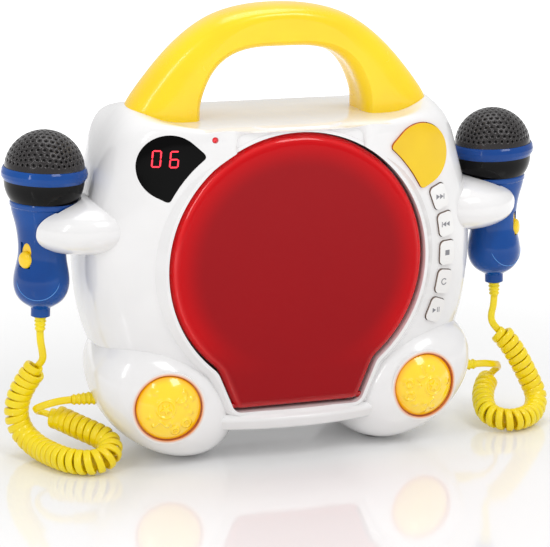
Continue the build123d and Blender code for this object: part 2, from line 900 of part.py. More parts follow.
# ---------------------------------------------------------------- disc tray and drive
with BuildPart() as disc_tray:
    with BuildSketch(facing(recess_floor_y)):
        add(lid_outline(-tray_gap))
    extrude(amount=deck_thickness + well_depth)
    with BuildSketch(facing(recess_floor_y - deck_thickness)):
        with Locations((0, lid_centre_z)):
            Circle(well_radius)
        with Locations((-well_radius, lid_centre_z), (well_radius, lid_centre_z)):
            Circle(finger_notch_radius)
        add(lid_outline(-tray_gap), mode=Mode.INTERSECT)
        with Locations((0, lid_centre_z)):
            Circle(lid_opening_radius - 3, mode=Mode.INTERSECT)
    extrude(amount=well_depth, mode=Mode.SUBTRACT)
    with BuildSketch(facing(recess_floor_y)):
        with Locations((0, lid_centre_z)):
            Circle(turntable_radius + 1)
        with Locations(((slot_inner_x + slot_outer_x) / 2, lid_centre_z)):
            SlotOverall(slot_outer_x - slot_inner_x, 2 * slot_half_height)
    extrude(amount=20, mode=Mode.SUBTRACT)
disc_tray.part.label = "disc_tray"
export_step(disc_tray.part, "parts/disc_tray.step")

with BuildPart() as spindle_motor:
    with BuildSketch(facing(recess_floor_y)):
        with Locations((0, lid_centre_z)):
            Circle(turntable_radius + 2)
            Circle(motor_radius, mode=Mode.SUBTRACT)
    extrude(amount=-motor_flange)
    with BuildSketch(facing(recess_floor_y + motor_flange)):
        with Locations((0, lid_centre_z)):
            Circle(motor_radius + 0.5)
            Circle(spindle_radius + running_gap, mode=Mode.SUBTRACT)
    extrude(amount=-motor_length)
spindle_motor.part.label = "spindle_motor"
export_step(spindle_motor.part, "parts/spindle_motor.step")

with BuildPart() as turntable:
    with BuildSketch(facing(turntable_y)):
        with Locations((0, lid_centre_z)):
            Circle(turntable_radius)
    extrude(amount=turntable_thickness)
    with BuildSketch(facing(turntable_y - turntable_thickness)):
        with Locations((0, lid_centre_z)):
            Circle(disc_hub_radius)
    extrude(amount=disc_hub_height)
    chamfer(turntable.faces().sort_by(Axis.Y)[0].edges(), length=0.8)
    with BuildSketch(facing(turntable_y)):
        with Locations((0, lid_centre_z)):
            Circle(spindle_radius)
    extrude(amount=turntable_y - recess_floor_y - motor_flange - motor_length + 2)
turntable.part.label = "turntable"
export_step(turntable.part, "parts/turntable.step")

rail_places = [(rail_y, lid_centre_z - rail_half_gap), (rail_y, lid_centre_z + rail_half_gap)]
with BuildPart() as sled_rails:
    with BuildSketch(Plane.YZ.offset(rail_inner_x)):
        with Locations(*rail_places):
            Circle(rail_radius)
    extrude(amount=rail_outer_x - rail_inner_x)
    for start in (rail_inner_x, rail_outer_x - rail_post):
        with BuildSketch(Plane.YZ.offset(start)):
            for y, z in rail_places:
                with Locations(((y + rail_radius + recess_floor_y) / 2, z)):
                    Rectangle(y + rail_radius - recess_floor_y, 2 * rail_radius)
        extrude(amount=rail_post)
sled_rails.part.label = "sled_rails"
export_step(sled_rails.part, "parts/sled_rails.step")

tooth_pitch = pi * gear_module
rack_bottom_z = lid_centre_z - sled_height / 2 - rack_drop
rack_pitch_z = rack_bottom_z + gear_module
gear_radius = gear_module * gear_teeth / 2
gear_z = rack_pitch_z - gear_radius
with BuildPart() as pickup_sled:
    with BuildSketch(facing(rail_y + sled_thickness / 2)):
        with Locations((sled_inner_x + sled_length / 2, lid_centre_z)):
            RectangleRounded(sled_length, sled_height, 1.5)
    extrude(amount=sled_thickness)
    with BuildSketch(Plane.YZ.offset(sled_inner_x - 1)):
        with Locations(*rail_places):
            Circle(rail_radius + running_gap)
    extrude(amount=sled_length + 2, mode=Mode.SUBTRACT)
    with BuildSketch(facing(rail_y + gear_thickness / 2)):
        with BuildLine():
            start = gear_x - rack_length
            Polyline(
                (start, rack_bottom_z + 2 * gear_module + 0.4),
                (start, rack_bottom_z + 5),
                (sled_inner_x + sled_length / 2, rack_bottom_z + 5),
                (gear_x + 3, rack_bottom_z + 5),
                (gear_x + 3, rack_bottom_z + 2 * gear_module + 0.4),
                close=True,
            )
        make_face()
        for number in range(int(rack_length / tooth_pitch)):
            middle = gear_x - number * tooth_pitch
            with BuildLine():
                foot = tooth_pitch / 4 + gear_module * 0.36 - tooth_play
                tip = tooth_pitch / 4 - gear_module * 0.36 - tooth_play
                Polyline(
                    (middle - foot, rack_bottom_z + 2 * gear_module + 0.5),
                    (middle - tip, rack_bottom_z + 0.1),
                    (middle + tip, rack_bottom_z + 0.1),
                    (middle + foot, rack_bottom_z + 2 * gear_module + 0.5),
                    close=True,
                )
            make_face()
    extrude(amount=gear_thickness)
pickup_sled.part.label = "pickup_sled"
export_step(pickup_sled.part, "parts/pickup_sled.step")

with BuildPart() as pickup_lens:
    with BuildSketch(facing(rail_y - sled_thickness / 2)):
        with Locations((sled_inner_x + sled_length / 2, lid_centre_z)):
            Circle(lens_radius)
    extrude(amount=rail_y - sled_thickness / 2 - lens_top_y)
    fillet(pickup_lens.faces().sort_by(Axis.Y)[0].edges(), radius=1.2)
pickup_lens.part.label = "pickup_lens"
export_step(pickup_lens.part, "parts/pickup_lens.step")

with BuildPart() as sled_gear:
    with BuildSketch(facing(rail_y + gear_thickness / 2)):
        with Locations((gear_x, gear_z)):
            Circle(gear_radius - 1.1 * gear_module)
            with PolarLocations(0, gear_teeth, start_angle=90 + 180 / gear_teeth):
                with Locations((gear_radius - gear_module * 0.25, 0)):
                    Trapezoid(
                        2 * (tooth_pitch / 4 + gear_module * 0.4 - tooth_play),
                        gear_module * 2,
                        65,
                        rotation=-90,
                    )
    extrude(amount=gear_thickness)
    with BuildSketch(facing(rail_y + gear_thickness / 2)):
        with Locations((gear_x, gear_z)):
            Circle(spindle_radius)
    extrude(amount=-gear_shaft)
sled_gear.part.label = "sled_gear"
export_step(sled_gear.part, "parts/sled_gear.step")

sled_motor_y = rail_y + sled_thickness / 2 + 0.5
with BuildPart() as sled_motor:
    with BuildSketch(facing(sled_motor_y)):
        with Locations((gear_x, gear_z)):
            Circle(sled_motor_radius)
    extrude(amount=-sled_motor_length)
    with BuildSketch(facing(recess_floor_y)):
        with Locations((gear_x + sled_motor_radius + 2, gear_z - 4)):
            Rectangle(6, 8)
    extrude(amount=sled_motor_y + sled_motor_length / 2 - recess_floor_y, dir=(0, 1, 0))
    with BuildSketch(facing(rail_y)):
        with Locations((gear_x, gear_z)):
            Circle(spindle_radius + running_gap)
    extrude(amount=-sled_motor_length, mode=Mode.SUBTRACT)
sled_motor.part.label = "sled_motor"
export_step(sled_motor.part, "parts/sled_motor.step")

# ---------------------------------------------------------------- electrics and battery bay
with BuildPart() as main_board:
    with BuildSketch(facing(board_y)):
        with Locations((0, board_z)):
            RectangleRounded(2 * board_half_width, 2 * board_half_height, 2)
    extrude(amount=board_thickness)
    with BuildSketch(facing(board_y - board_thickness)):
        with Locations((-18, board_z)):
            Rectangle(14, 14)
        with Locations((14, board_z - 6)):
            Rectangle(10, 18)
    extrude(amount=1.6)
    with BuildSketch(facing(board_y - board_thickness)):
        with Locations((30, board_z + 10), (30, board_z - 4), (-38, board_z + 8)):
            Circle(4)
    extrude(amount=9)
main_board.part.label = "main_board"
export_step(main_board.part, "parts/main_board.step")

with BuildPart() as battery_contacts:
    with BuildSketch(Plane.XY.offset(battery_bottom_z)):
        with Locations((0, back_plane_y - battery_depth / 2 - 1)):
            with GridLocations(cell_pitch, 0, cell_count, 1):
                Rectangle(8, 9)
    extrude(amount=0.6)
    with BuildSketch(Plane.XY.offset(battery_top_z)):
        with Locations((0, back_plane_y - battery_depth / 2 - 1)):
            with GridLocations(cell_pitch, 0, cell_count, 1):
                Rectangle(8, 9)
    extrude(amount=-0.6)
battery_contacts.part.label = "battery_contacts"
export_step(battery_contacts.part, "parts/battery_contacts.step")

with BuildPart() as battery_door:
    door_top_z = battery_top_z + door_lip - fit_gap
    with BuildSketch(facing(back_plane_y)):
        with Locations((0, (door_low_z + door_top_z) / 2)):
            Rectangle(2 * (battery_half_width + door_lip - fit_gap), door_top_z - door_low_z)
        with Locations((0, door_top_z)):
            Circle(8, mode=Mode.SUBTRACT)
    extrude(amount=door_thickness)
    with BuildSketch(Plane.YZ.offset(-battery_half_width - door_lip + fit_gap)):
        with Locations((door_mid_y, door_low_z)):
            Circle(door_hinge_radius)
    extrude(amount=2 * (battery_half_width + door_lip - fit_gap))
    with BuildSketch(Plane.YZ.offset(fit_gap - battery_half_width - door_lip - door_pin_reach)):
        with Locations((door_mid_y, door_low_z)):
            Circle(door_pin_radius)
    extrude(amount=2 * (battery_half_width + door_lip + door_pin_reach - fit_gap))
battery_door.part.label = "battery_door"
export_step(battery_door.part, "parts/battery_door.step")

speaker_plane_y = back_plane_y - wall
with BuildPart() as speaker:
    with BuildSketch(Plane.YZ):
        with BuildLine():
            Polyline(
                (speaker_plane_y, speaker_z + speaker_radius),
                (speaker_plane_y, speaker_z + speaker_radius - 4),
                (speaker_plane_y - 3, speaker_z + speaker_radius - 5),
                (speaker_plane_y - 11, speaker_z + 9),
                (speaker_plane_y - 9, speaker_z),
                (speaker_plane_y - speaker_depth, speaker_z),
                (speaker_plane_y - speaker_depth, speaker_z + 14),
                (speaker_plane_y - 12, speaker_z + 14),
                (speaker_plane_y - 2, speaker_z + speaker_radius),
                close=True,
            )
        make_face()
    revolve(axis=Axis((0, 0, speaker_z), (0, 1, 0)))
speaker.part.label = "speaker"
export_step(speaker.part, "parts/speaker.step")

with BuildPart() as dc_socket:
    with BuildSketch(facing(back_plane_y - wall)):
        with Locations((dc_x, dc_z)):
            Rectangle(dc_body, dc_body)
            Circle(dc_radius, mode=Mode.SUBTRACT)
    extrude(amount=dc_depth)
    with BuildSketch(facing(back_plane_y - wall - dc_depth)):
        with Locations((dc_x, dc_z)):
            Rectangle(dc_body, dc_body)
    extrude(amount=2)
    with BuildSketch(facing(back_plane_y - wall - dc_depth)):
        with Locations((dc_x, dc_z)):
            Circle(1)
    extrude(amount=-(dc_depth - 1))
dc_socket.part.label = "dc_socket"
export_step(dc_socket.part, "parts/dc_socket.step")

# ---------------------------------------------------------------- microphones
for name, side in SIDES:
    plane = mic_plane(side)
    axis = mic_axis(side)
    switch_plane = mic_switch_plane(side)

    with BuildPart() as mic_grille:
        with BuildSketch(plane):
            with BuildLine():
                base = ring_top_t - 1.2
                rise = base - grille_centre_t
                inner = grille_radius - grille_wall
                top_t = grille_centre_t + grille_radius
                outer_base = (sqrt(grille_radius**2 - rise**2), base)
                inner_base = (sqrt(inner**2 - rise**2), base)
                outer_mid = (grille_radius * cos(pi / 4), grille_centre_t + grille_radius * sin(pi / 4))
                inner_mid = (inner * cos(pi / 4), grille_centre_t + inner * sin(pi / 4))
                ThreePointArc(outer_base, outer_mid, (pole_flat, top_t))
                inner_top = (pole_flat, top_t - grille_wall)
                Polyline((pole_flat, top_t), (0, top_t), (0, top_t - grille_wall), inner_top)
                ThreePointArc(inner_top, inner_mid, inner_base)
                Line(inner_base, outer_base)
            make_face()
        revolve(axis=axis)
    mic_grille.part.label = f"{name}_mic_grille"
    export_step(mic_grille.part, f"parts/{name}_mic_grille.step")

    with BuildPart() as mic_ring:
        with BuildSketch(plane):
            with BuildLine():
                seat = grille_radius + 0.05
                Polyline(
                    (inner, ring_bottom_t),
                    (ring_radius - 1.4, ring_bottom_t),
                    (ring_radius - 0.2, -1.6),
                    (ring_radius, 0.4),
                    (ring_radius - 0.5, 2.4),
                    (ring_radius - 1.1, ring_top_t),
                    (seat, ring_top_t),
                    (seat, base),
                    (inner, base),
                    close=True,
                )
            make_face()
        revolve(axis=axis)
    mic_ring.part.label = f"{name}_mic_ring"
    export_step(mic_ring.part, f"parts/{name}_mic_ring.step")

    with BuildPart() as mic_bowl:
        with BuildSketch(plane):
            with BuildLine():
                outer_arc = ThreePointArc(
                    (grille_radius, ring_bottom_t),
                    (grille_radius - 0.9, -9.4),
                    (collar_radius - 0.2, bowl_bottom_t),
                )
                Line(outer_arc @ 1, (0, bowl_bottom_t))
                Line((0, bowl_bottom_t), (0, bowl_bottom_t + mic_wall))
                Line((0, bowl_bottom_t + mic_wall), (collar_radius - 2.6, bowl_bottom_t + mic_wall))
                inner_arc = ThreePointArc(
                    (collar_radius - 2.6, bowl_bottom_t + mic_wall),
                    (grille_radius - 2.9, -8.2),
                    (grille_radius - mic_wall, ring_bottom_t),
                )
                Line(inner_arc @ 1, outer_arc @ 0)
            make_face()
        revolve(axis=axis)
    mic_bowl.part.label = f"{name}_mic_bowl"
    export_step(mic_bowl.part, f"parts/{name}_mic_bowl.step")

    with BuildPart() as mic_handle:
        with BuildSketch(plane):
            with BuildLine():
                Polyline((0, bowl_bottom_t), (collar_radius - 0.4, bowl_bottom_t), (collar_radius, -15.4))
                Polyline((collar_radius, -15.4), (collar_radius, -17.2), grip_points()[0])
                Spline(*grip_points(), tangents=((-0.1, -1), (-1, -1)))
                neck_edge = (neck_radius, neck_bottom_t)
                Polyline(grip_points()[-1], neck_edge, (0, neck_bottom_t), (0, bowl_bottom_t))
            make_face()
        revolve(axis=axis)
        with BuildSketch(plane):
            with BuildLine():
                Polyline((0, -20), grip_points(-mic_wall)[0], (13.3, -26))
                Spline(*grip_points(-mic_wall)[1:6], tangents=((-0.3, -1), (-0.4, -1)))
                Polyline(grip_points(-mic_wall)[5], (8, -69), (0, -69), (0, -20))
            make_face()
        revolve(axis=axis, mode=Mode.SUBTRACT)
        with BuildSketch(Plane(axis.position, z_dir=axis.direction).offset(neck_bottom_t)):
            Circle(relief_shank)
        extrude(amount=20, mode=Mode.SUBTRACT)
        with BuildSketch(switch_plane.offset(switch_floor)):
            with Locations((0, switch_low_t + (switch_length + switch_travel) / 2)):
                Rectangle(switch_width + 2 * fit_gap, switch_length + switch_travel + 2 * fit_gap)
        extrude(amount=10, mode=Mode.SUBTRACT)
    for half, keep in (("front", Keep.TOP), ("rear", Keep.BOTTOM)):
        with BuildPart() as mic_half:
            add(mic_handle.part)
            split(bisect_by=facing(0), keep=keep)
        mic_half.part.label = f"{name}_mic_{half}_half"
        export_step(mic_half.part, f"parts/{name}_mic_{half}_half.step")

    with BuildPart() as mic_switch:
        with BuildSketch(switch_plane.offset(switch_floor + 0.05)):
            with Locations((0, switch_low_t + switch_length / 2)):
                RectangleRounded(switch_width, switch_length, 0.8)
        extrude(amount=switch_plate)
        with BuildSketch(switch_plane.offset(switch_floor + switch_plate)):
            with Locations((0, switch_low_t + switch_length / 2)):
                Circle(switch_knob_radius)
        extrude(amount=switch_knob_reach - switch_floor - switch_plate, taper=12)
    mic_switch.part.label = f"{name}_mic_switch"
    export_step(mic_switch.part, f"parts/{name}_mic_switch.step")

    with BuildPart() as mic_relief:
        with BuildSketch(plane):
            with BuildLine():
                Polyline(
                    (0, neck_bottom_t + 7),
                    (relief_shank - 0.05, neck_bottom_t + 7),
                    (relief_shank - 0.05, neck_bottom_t),
                    (relief_radius, neck_bottom_t),
                    (cord_lead_radius + 0.7, neck_bottom_t - 12),
                    (0, neck_bottom_t - 12),
                    close=True,
                )
            make_face()
        revolve(axis=axis)
        split(bisect_by=Plane.XY.offset(relief_end_z), keep=Keep.TOP)
    mic_relief.part.label = f"{name}_mic_relief"
    export_step(mic_relief.part, f"parts/{name}_mic_relief.step")

# ---------------------------------------------------------------- cords
# Each microphone's cord leaves the relief under its neck, curls down to the floor beside the
# player, doubles back and rises to the gland in the foot's side.
relief_x = mic_ring_x + (mic_ring_z - relief_end_z) * tan(radians(mic_lean))
cord_routes = {
    "left": {
        "upper": [
            (-relief_x, 0, relief_end_z), (-relief_x, 0, 65.8), (-131.3, 0.9, 60.0), (-130.7, 2.1, 54.7),
            (-133.2, 3.2, 51.2),
        ],
        "coil": [
            (-133.2, 3.2, 51.2), (-138.6, 5.6, 43.6), (-143.4, 7.2, 34.5), (-145.6, 8.0, 23.5),
            (-142.6, 6.5, 13.0), (-136.3, -3.0, 7.2), (-131.0, -16.0, 6.7), (-124.5, -29.5, 6.7),
            (-114.0, -37.0, 6.9), (-103.5, -35.5, 8.6), (-100.2, -25.0, 13.4), (-107.5, -17.5, 16.6),
            (-115.0, -8.5, 18.6), (-121.0, 1.0, 20.2), (-127.0, 5.0, 22.0),
        ],
        "lower": [
            (-127.0, 5.0, 22.0), (-131.0, 7.6, 23.2), (-135.4, 4.6, 25.0), (-136.0, -0.8, 28.0),
            (-133.4, -5.4, 30.8), (-128.8, -8.4, 33.0), (-123.4, gland_y, gland_z),
            (-gland_tip_x, gland_y, gland_z),
        ],
    },
    "right": {
        "upper": [
            (relief_x, 0, relief_end_z), (relief_x, 0, 65.8), (131.0, 0.2, 60.0), (131.72, -0.08, 55.2),
            (134.6, -2.0, 51.5),
        ],
        "coil": [
            (134.6, -2.0, 51.5), (140.6, -6.0, 43.8), (145.8, -9.3, 34.5), (150.8, -11.5, 24.0),
            (155.6, -14.0, 12.8), (149.5, -23.5, 7.0), (139.5, -31.5, 6.7), (128.6, -34.0, 6.7),
            (119.8, -26.0, 8.5), (121.5, -13.5, 13.2), (126.5, -3.5, 18.0), (133.0, 3.5, 21.5),
        ],
        "lower": [
            (133.0, 3.5, 21.5), (135.9, 6.7, 23.1), (138.9, 4.4, 26.6), (137.0, -0.6, 29.6),
            (132.4, -5.2, 31.6), (127.6, -8.2, 33.2), (123.0, gland_y, gland_z),
            (gland_tip_x, gland_y, gland_z),
        ],
    },
}


def corner_radii(points):
    """One bend radius for each inner point, as large as the two runs beside it allow."""
    radii = []
    for before, here, after in zip(points, points[1:], points[2:]):
        run_in = Vector(*here) - Vector(*before)
        run_out = Vector(*after) - Vector(*here)
        half_turn = radians(run_in.get_angle(run_out)) / 2
        radii.append(0.45 * min(run_in.length, run_out.length) / tan(half_turn))
    return radii


def tube(points, radius, label):
    """A round tube along straight runs joined by tangent arcs."""
    radii = corner_radii(points)
    with BuildPart() as cord:
        with BuildLine() as path:
            FilletPolyline(*points, radius=radii)
        run = path.wire()
        with BuildSketch(Plane(run @ 0, z_dir=run % 0)):
            Circle(radius)
        sweep(path=run)
    ratio = cord.part.volume / (pi * radius**2 * run.length)
    print(label, "length", round(run.length, 1), "volume ratio", round(ratio, 4))
    return cord.part


for name, side in SIDES:
    routes = cord_routes[name]
    coil = tube(routes["coil"], coil_radius, f"{name} coil")
    coil.label = f"{name}_cord_coil"
    export_step(coil, f"parts/{name}_cord_coil.step")
    for stretch in ("upper", "lower"):
        lead = tube(routes[stretch], cord_lead_radius, f"{name} {stretch} lead")
        lead.label = f"{name}_cord_{stretch}_lead"
        export_step(lead, f"parts/{name}_cord_{stretch}_lead.step")
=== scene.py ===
# %% [markdown]
# # A children's karaoke disc player
#
# The packed model holds every rigid piece in its place and says how it moves. This lesson
# dresses those pieces in procedural finishes, and makes what a plain solid can't show: the
# perforated heads of the microphones, curly cords, relief on the knobs, lit figures and the
# marks on the buttons. Lengths are in metres, +X is the viewer's right and the front is -Y.

# %% Load the packed model
import math

import bmesh
import bpy
import numpy as np
from mathutils import Matrix, Vector
from mathutils.bvhtree import BVHTree


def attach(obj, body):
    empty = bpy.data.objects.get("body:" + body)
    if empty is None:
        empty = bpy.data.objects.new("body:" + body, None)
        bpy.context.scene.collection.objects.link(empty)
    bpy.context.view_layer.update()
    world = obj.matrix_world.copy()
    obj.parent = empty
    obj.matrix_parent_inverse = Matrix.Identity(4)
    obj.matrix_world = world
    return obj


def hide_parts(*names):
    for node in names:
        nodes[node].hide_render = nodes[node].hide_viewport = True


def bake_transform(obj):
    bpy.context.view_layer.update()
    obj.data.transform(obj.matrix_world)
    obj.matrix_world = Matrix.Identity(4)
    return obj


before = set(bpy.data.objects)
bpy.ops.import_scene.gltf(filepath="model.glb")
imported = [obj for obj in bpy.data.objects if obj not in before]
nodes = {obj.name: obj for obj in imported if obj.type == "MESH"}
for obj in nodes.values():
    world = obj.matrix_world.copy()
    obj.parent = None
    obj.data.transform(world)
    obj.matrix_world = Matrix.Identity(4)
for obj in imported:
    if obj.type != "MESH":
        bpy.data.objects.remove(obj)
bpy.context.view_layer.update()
MM = 0.001
SIDES = (("left", -1), ("right", 1))

# %% [markdown]
# ## Camera
#
# A long lens from a little above and to the left flattens the player, as a catalogue picture
# does. The camera is made first, because everything that follows is judged through it.

# %% Aim the camera
CAMERA_AT = Vector((-342.964, -1065.783, 382.0)) * MM
CAMERA_TARGET = Vector((2.083, 6.5, 92.048)) * MM
CAMERA_ROLL = math.radians(0.4189)
CAMERA_LENS, CAMERA_SENSOR = 136.6, 36

camera_data = bpy.data.cameras.new("camera")
camera_data.lens = CAMERA_LENS
camera_data.sensor_width = CAMERA_SENSOR
camera = bpy.data.objects.new("camera", camera_data)
bpy.context.scene.collection.objects.link(camera)
camera.location = CAMERA_AT
camera.rotation_mode = "QUATERNION"
aim = (CAMERA_TARGET - CAMERA_AT).to_track_quat("-Z", "Y")
camera.rotation_quaternion = aim @ Matrix.Rotation(CAMERA_ROLL, 4, "Z").to_quaternion()
bpy.context.scene.camera = camera
bpy.context.scene.view_settings.view_transform = "Standard"
print("camera to target:", round((CAMERA_TARGET - CAMERA_AT).length, 3), "m")


# %% [markdown]
# ## Finishes as formulas
#
# Material patterns are small formulas over a place on the piece. A class that stands for one
# output socket lets Python write them: arithmetic on it adds Math nodes, and one method makes
# every other node.

# %% A wire between nodes
class Wire:
    """One output socket of a material; arithmetic on it adds Math nodes."""

    def __init__(self, socket):
        self.socket = socket
        self.tree = socket.id_data

    def make(self, kind, sockets, out=0, **settings):
        """Any other node: its settings come first, then a value or a wire for each socket."""
        made = self.tree.nodes.new(kind)
        for key, value in settings.items():
            setattr(made, key, value)
        for key, value in sockets.items():
            if isinstance(value, Wire):
                self.tree.links.new(value.socket, made.inputs[key])
            else:
                made.inputs[key].default_value = value
        return Wire(made.outputs[out])

    def math(self, operation, *values):
        """A Math node on these values or wires."""
        return self.make("ShaderNodeMath", dict(enumerate(values)), operation=operation)

    def __add__(self, other):
        return self.math("ADD", self, other)

    def __sub__(self, other):
        return self.math("SUBTRACT", self, other)

    def __rsub__(self, other):
        return self.math("SUBTRACT", other, self)

    def __mul__(self, other):
        return self.math("MULTIPLY", self, other)

    def root(self):
        """The square root of this."""
        return self.math("SQRT", self)

    def below(self, limit):
        """The smaller of this and a limit."""
        return self.math("MINIMUM", self, limit)

    def ramp(self, low, high):
        """0 below low and 1 above high, with a soft S between them."""
        sockets = {0: self, 1: low, 2: high}
        return self.make("ShaderNodeMapRange", sockets, interpolation_type="SMOOTHSTEP")

    def noise(self, per_metre, detail=2.0, rough=0.5):
        """Soft noise from 0 to 1 at this place, with so many cells to a metre."""
        sockets = {"Vector": self, "Scale": per_metre, "Detail": detail, "Roughness": rough}
        return self.make("ShaderNodeTexNoise", sockets)

    def colour(self, low, high):
        """The colour between two colours where this is 0 to 1."""
        ends = [end if isinstance(end, Wire) else (*end, 1) for end in (low, high)]
        return self.make("ShaderNodeMix", {0: self, 6: ends[0], 7: ends[1]}, 2, data_type="RGBA")

    def axes(self):
        """The three parts of a vector."""
        first = self.make("ShaderNodeSeparateXYZ", {0: self})
        return [Wire(output) for output in first.socket.node.outputs]

    def bump(self, height, strength=0.5):
        """A normal from this as relief, with its full height in metres."""
        return self.make("ShaderNodeBump", {"Height": self, "Distance": height, "Strength": strength})


def srgb(code):
    """A linear colour from a web code."""
    values = [int(code[n : n + 2], 16) / 255 for n in (0, 2, 4)]
    return tuple(v / 12.92 if v < 0.04045 else ((v + 0.055) / 1.055) ** 2.4 for v in values)


def finish(name, pattern, **constants):
    """A material: constants sit on the shader's sockets, pattern(place, normal) feeds the rest."""
    made = bpy.data.materials.new(name)
    made.use_nodes = True
    shader = made.node_tree.nodes["Principled BSDF"]
    for key, value in constants.items():
        shader.inputs[key.replace("_", " ")].default_value = value
    coordinates = made.node_tree.nodes.new("ShaderNodeTexCoord")
    place, normal = Wire(coordinates.outputs["Object"]), Wire(coordinates.outputs["Normal"])
    for key, value in pattern(place, normal).items():
        made.node_tree.links.new(value.socket, shader.inputs[key])
    return made


print("what a wire can make:", sorted(name for name in vars(Wire) if not name.startswith("_")))


# %% [markdown]
# ## Moulded plastic
#
# Nearly everything here is injection-moulded: glossy, a little uneven where the melt cooled,
# with a skin too fine to see except in a highlight. One function makes them all, from two
# colours that it mixes at random, a gloss and a lacquer-like coat, and for a few pieces a
# painted shade or a painted reflection laid over them.

# %% Plastics
def moulded(name, colour, shade, gloss=0.22, coat=0.3, skin=0.00002, painted_light=None, **constants):
    """Plastic whose colour drifts by cooling, with flow marks in its gloss and a fine skin."""

    def pattern(place, normal):
        base = place.noise(28).ramp(0.3, 0.7).colour(srgb(shade), srgb(colour))
        # Painted light, when given: a painted shade or a painted reflection over the colour.
        if painted_light:
            base = painted_light(place, normal, base)
        return {
            "Base Color": base,
            "Roughness": place.noise(90, 4, 0.65) * 0.1 + (gloss - 0.05),
            "Normal": place.noise(2600).bump(skin),
        }

    return finish(name, pattern, Coat_Weight=coat, Coat_Roughness=0.05, **constants)


def painted_side_shade(code, reach=0.75):
    """Painted shade on the sides of a piece that faces the front, where its normal turns away."""

    def painted_light(place, normal, base):
        side = (normal.axes()[1] + 1.0).ramp(1.0 - reach, 1.15 - reach)
        return side.colour(base, srgb(code))

    return painted_light


white = moulded("white_shell", "EFEEEE", "EAE9E9", 0.18, 0.5)
# The buttons' sides carry painted shade: brownish on the white ones, orange on the OPEN button.
button_white = moulded("button_white", "F2F1F0", "EAE8E6", 0.24, 0.3, painted_light=painted_side_shade("A08C80"))
yellow = moulded("yellow_gloss", "FFDA02", "FFD000", 0.26, 0.3)
open_yellow = moulded(
    "open_yellow", "F2CA00", "E8BC00", 0.26, 0.3, painted_light=painted_side_shade("E07800"), Specular_IOR_Level=0.3
)
blue = moulded("mic_blue", "034C9C", "033E88", 0.14, 0.35, Specular_IOR_Level=0.15)
# A lighter blue for the bead on the handle: a painted highlight along the seam.
seam_painted_highlight = moulded("seam_painted_highlight", "4F94DC", "3C82CC", 0.2, 0.4)
black = moulded("black_gloss", "080708", "040404", 0.10, 0.15, Specular_IOR_Level=0.1)
window = moulded("window_dark", "040304", "020202", 0.06, 0.0, Specular_IOR_Level=0.08)
grey = moulded("grey_plastic", "5B5E63", "505358", 0.45, 0.0)
print_grey = moulded("print_grey", "8B8B90", "7C7C82", 0.5, 0.0)
deck = moulded("deck_black", "1B1B1D", "141416", 0.5, 0.0, 0.00006)
rubber = moulded("rubber", "1E1E1E", "161616", 0.7, 0.0, 0.00008)
board_green = moulded("board", "0E5A2C", "0A4A22", 0.4, 0.2)
cord_yellow = moulded("cord_yellow", "FFE800", "F9DA00", 0.32, 0.2)
lamp_red = moulded(
    "led_red", "E01020", "C00A18", 0.12, 0.6, Emission_Color=(0.8, 0.01, 0.02, 1), Emission_Strength=0.4
)
digit_red = moulded(
    "digit_red", "FF2A38", "F01C2A", 0.4, 0.0, Emission_Color=(1.0, 0.03, 0.06, 1), Emission_Strength=1.6
)
print("plastics:", len(bpy.data.materials))


# %% [markdown]
# ## Steel, lens and pierced metal
#
# Drawn steel has fine streaks along one axis: noise looks drawn out when its place is squeezed
# along that axis. The microphone's head is steel sheet under dark lacquer.

# %% Metals and glass
def brushed(place, normal):
    """Streaks along Y: noise on a place whose Y is squeezed."""
    x, y, z = place.axes()
    streak = place.make("ShaderNodeCombineXYZ", {0: x, 1: y * 0.06, 2: z}).noise(2200, 3)
    return {
        "Base Color": streak.colour(srgb("8E8F92"), srgb("B9BABD")),
        "Roughness": streak * 0.25 + 0.2,
        "Normal": streak.bump(0.00002),
    }


def coated_glass(place, normal):
    """A violet tint that drifts over the lens."""
    return {"Base Color": place.noise(200).colour(srgb("90A8D8"), srgb("B8C8F0"))}


def lacquered_sheet(place, normal):
    """Dark lacquer with specks of gloss."""
    speck = place.noise(1500, 3)
    return {
        "Base Color": speck.colour(srgb("120E0F"), srgb("262021")),
        "Roughness": speck * 0.18 + 0.2,
        "Normal": speck.bump(0.00003),
    }


steel = finish("steel", brushed, Metallic=1.0)
lens = finish("lens", coated_glass, Roughness=0.03, Coat_Weight=1.0)
grille_metal = finish("grille", lacquered_sheet, Metallic=0.3, Coat_Weight=0.4, Coat_Roughness=0.10)
print("with metals:", len(bpy.data.materials))

# %% [markdown]
# ## The red lid
#
# The lid is one red moulding, deep red in the flat middle. The rounded shoulder is painted
# brighter, a painted sheen for the light it catches. The shoulder is known by its depth behind the
# front and by the distance from the lid's centre. Near the lid's foot only the depth counts, so
# the lower lid stays darker: a painted shade.

# %% Red with a painted sheen on the shoulder
LID_CENTRE_Z = 109.0 * MM
LID_FRONT_Y = -43.0 * MM
SHOULDER_DEPTH = 0.0012
SHEEN_START, SHEEN_END = 0.052, 0.068
FOOT_SHADE_START, FOOT_SHADE_END = -0.062, -0.030


def lid_red(place, normal):
    """Share of bright red, a painted sheen: nearly half from depth, the rest from radius, less at the
    foot, which is left in painted shade.
    """
    x, y, z = place.axes()
    height = z - LID_CENTRE_Z
    radius = (x * x + height * height).root()
    shoulder = (y - LID_FRONT_Y).ramp(0.0, SHOULDER_DEPTH)
    # The radius part of the painted sheen fades towards the foot, which paints the lower lid darker.
    painted_sheen = radius.ramp(SHEEN_START, SHEEN_END) * height.ramp(FOOT_SHADE_START, FOOT_SHADE_END)
    share = shoulder * 0.45 + painted_sheen * 0.55 + place.noise(22) * 0.06
    return {
        "Base Color": share.below(1.0).colour(srgb("980E16"), srgb("E0060F")),
        "Coat Weight": shoulder * 0.8,
        "Roughness": place.noise(70, 4) * 0.06 + 0.09,
        "Normal": place.noise(2400).bump(0.00001, 0.3),
    }


red = finish("red_lid", lid_red, Coat_Roughness=0.03, Specular_IOR_Level=0.12)
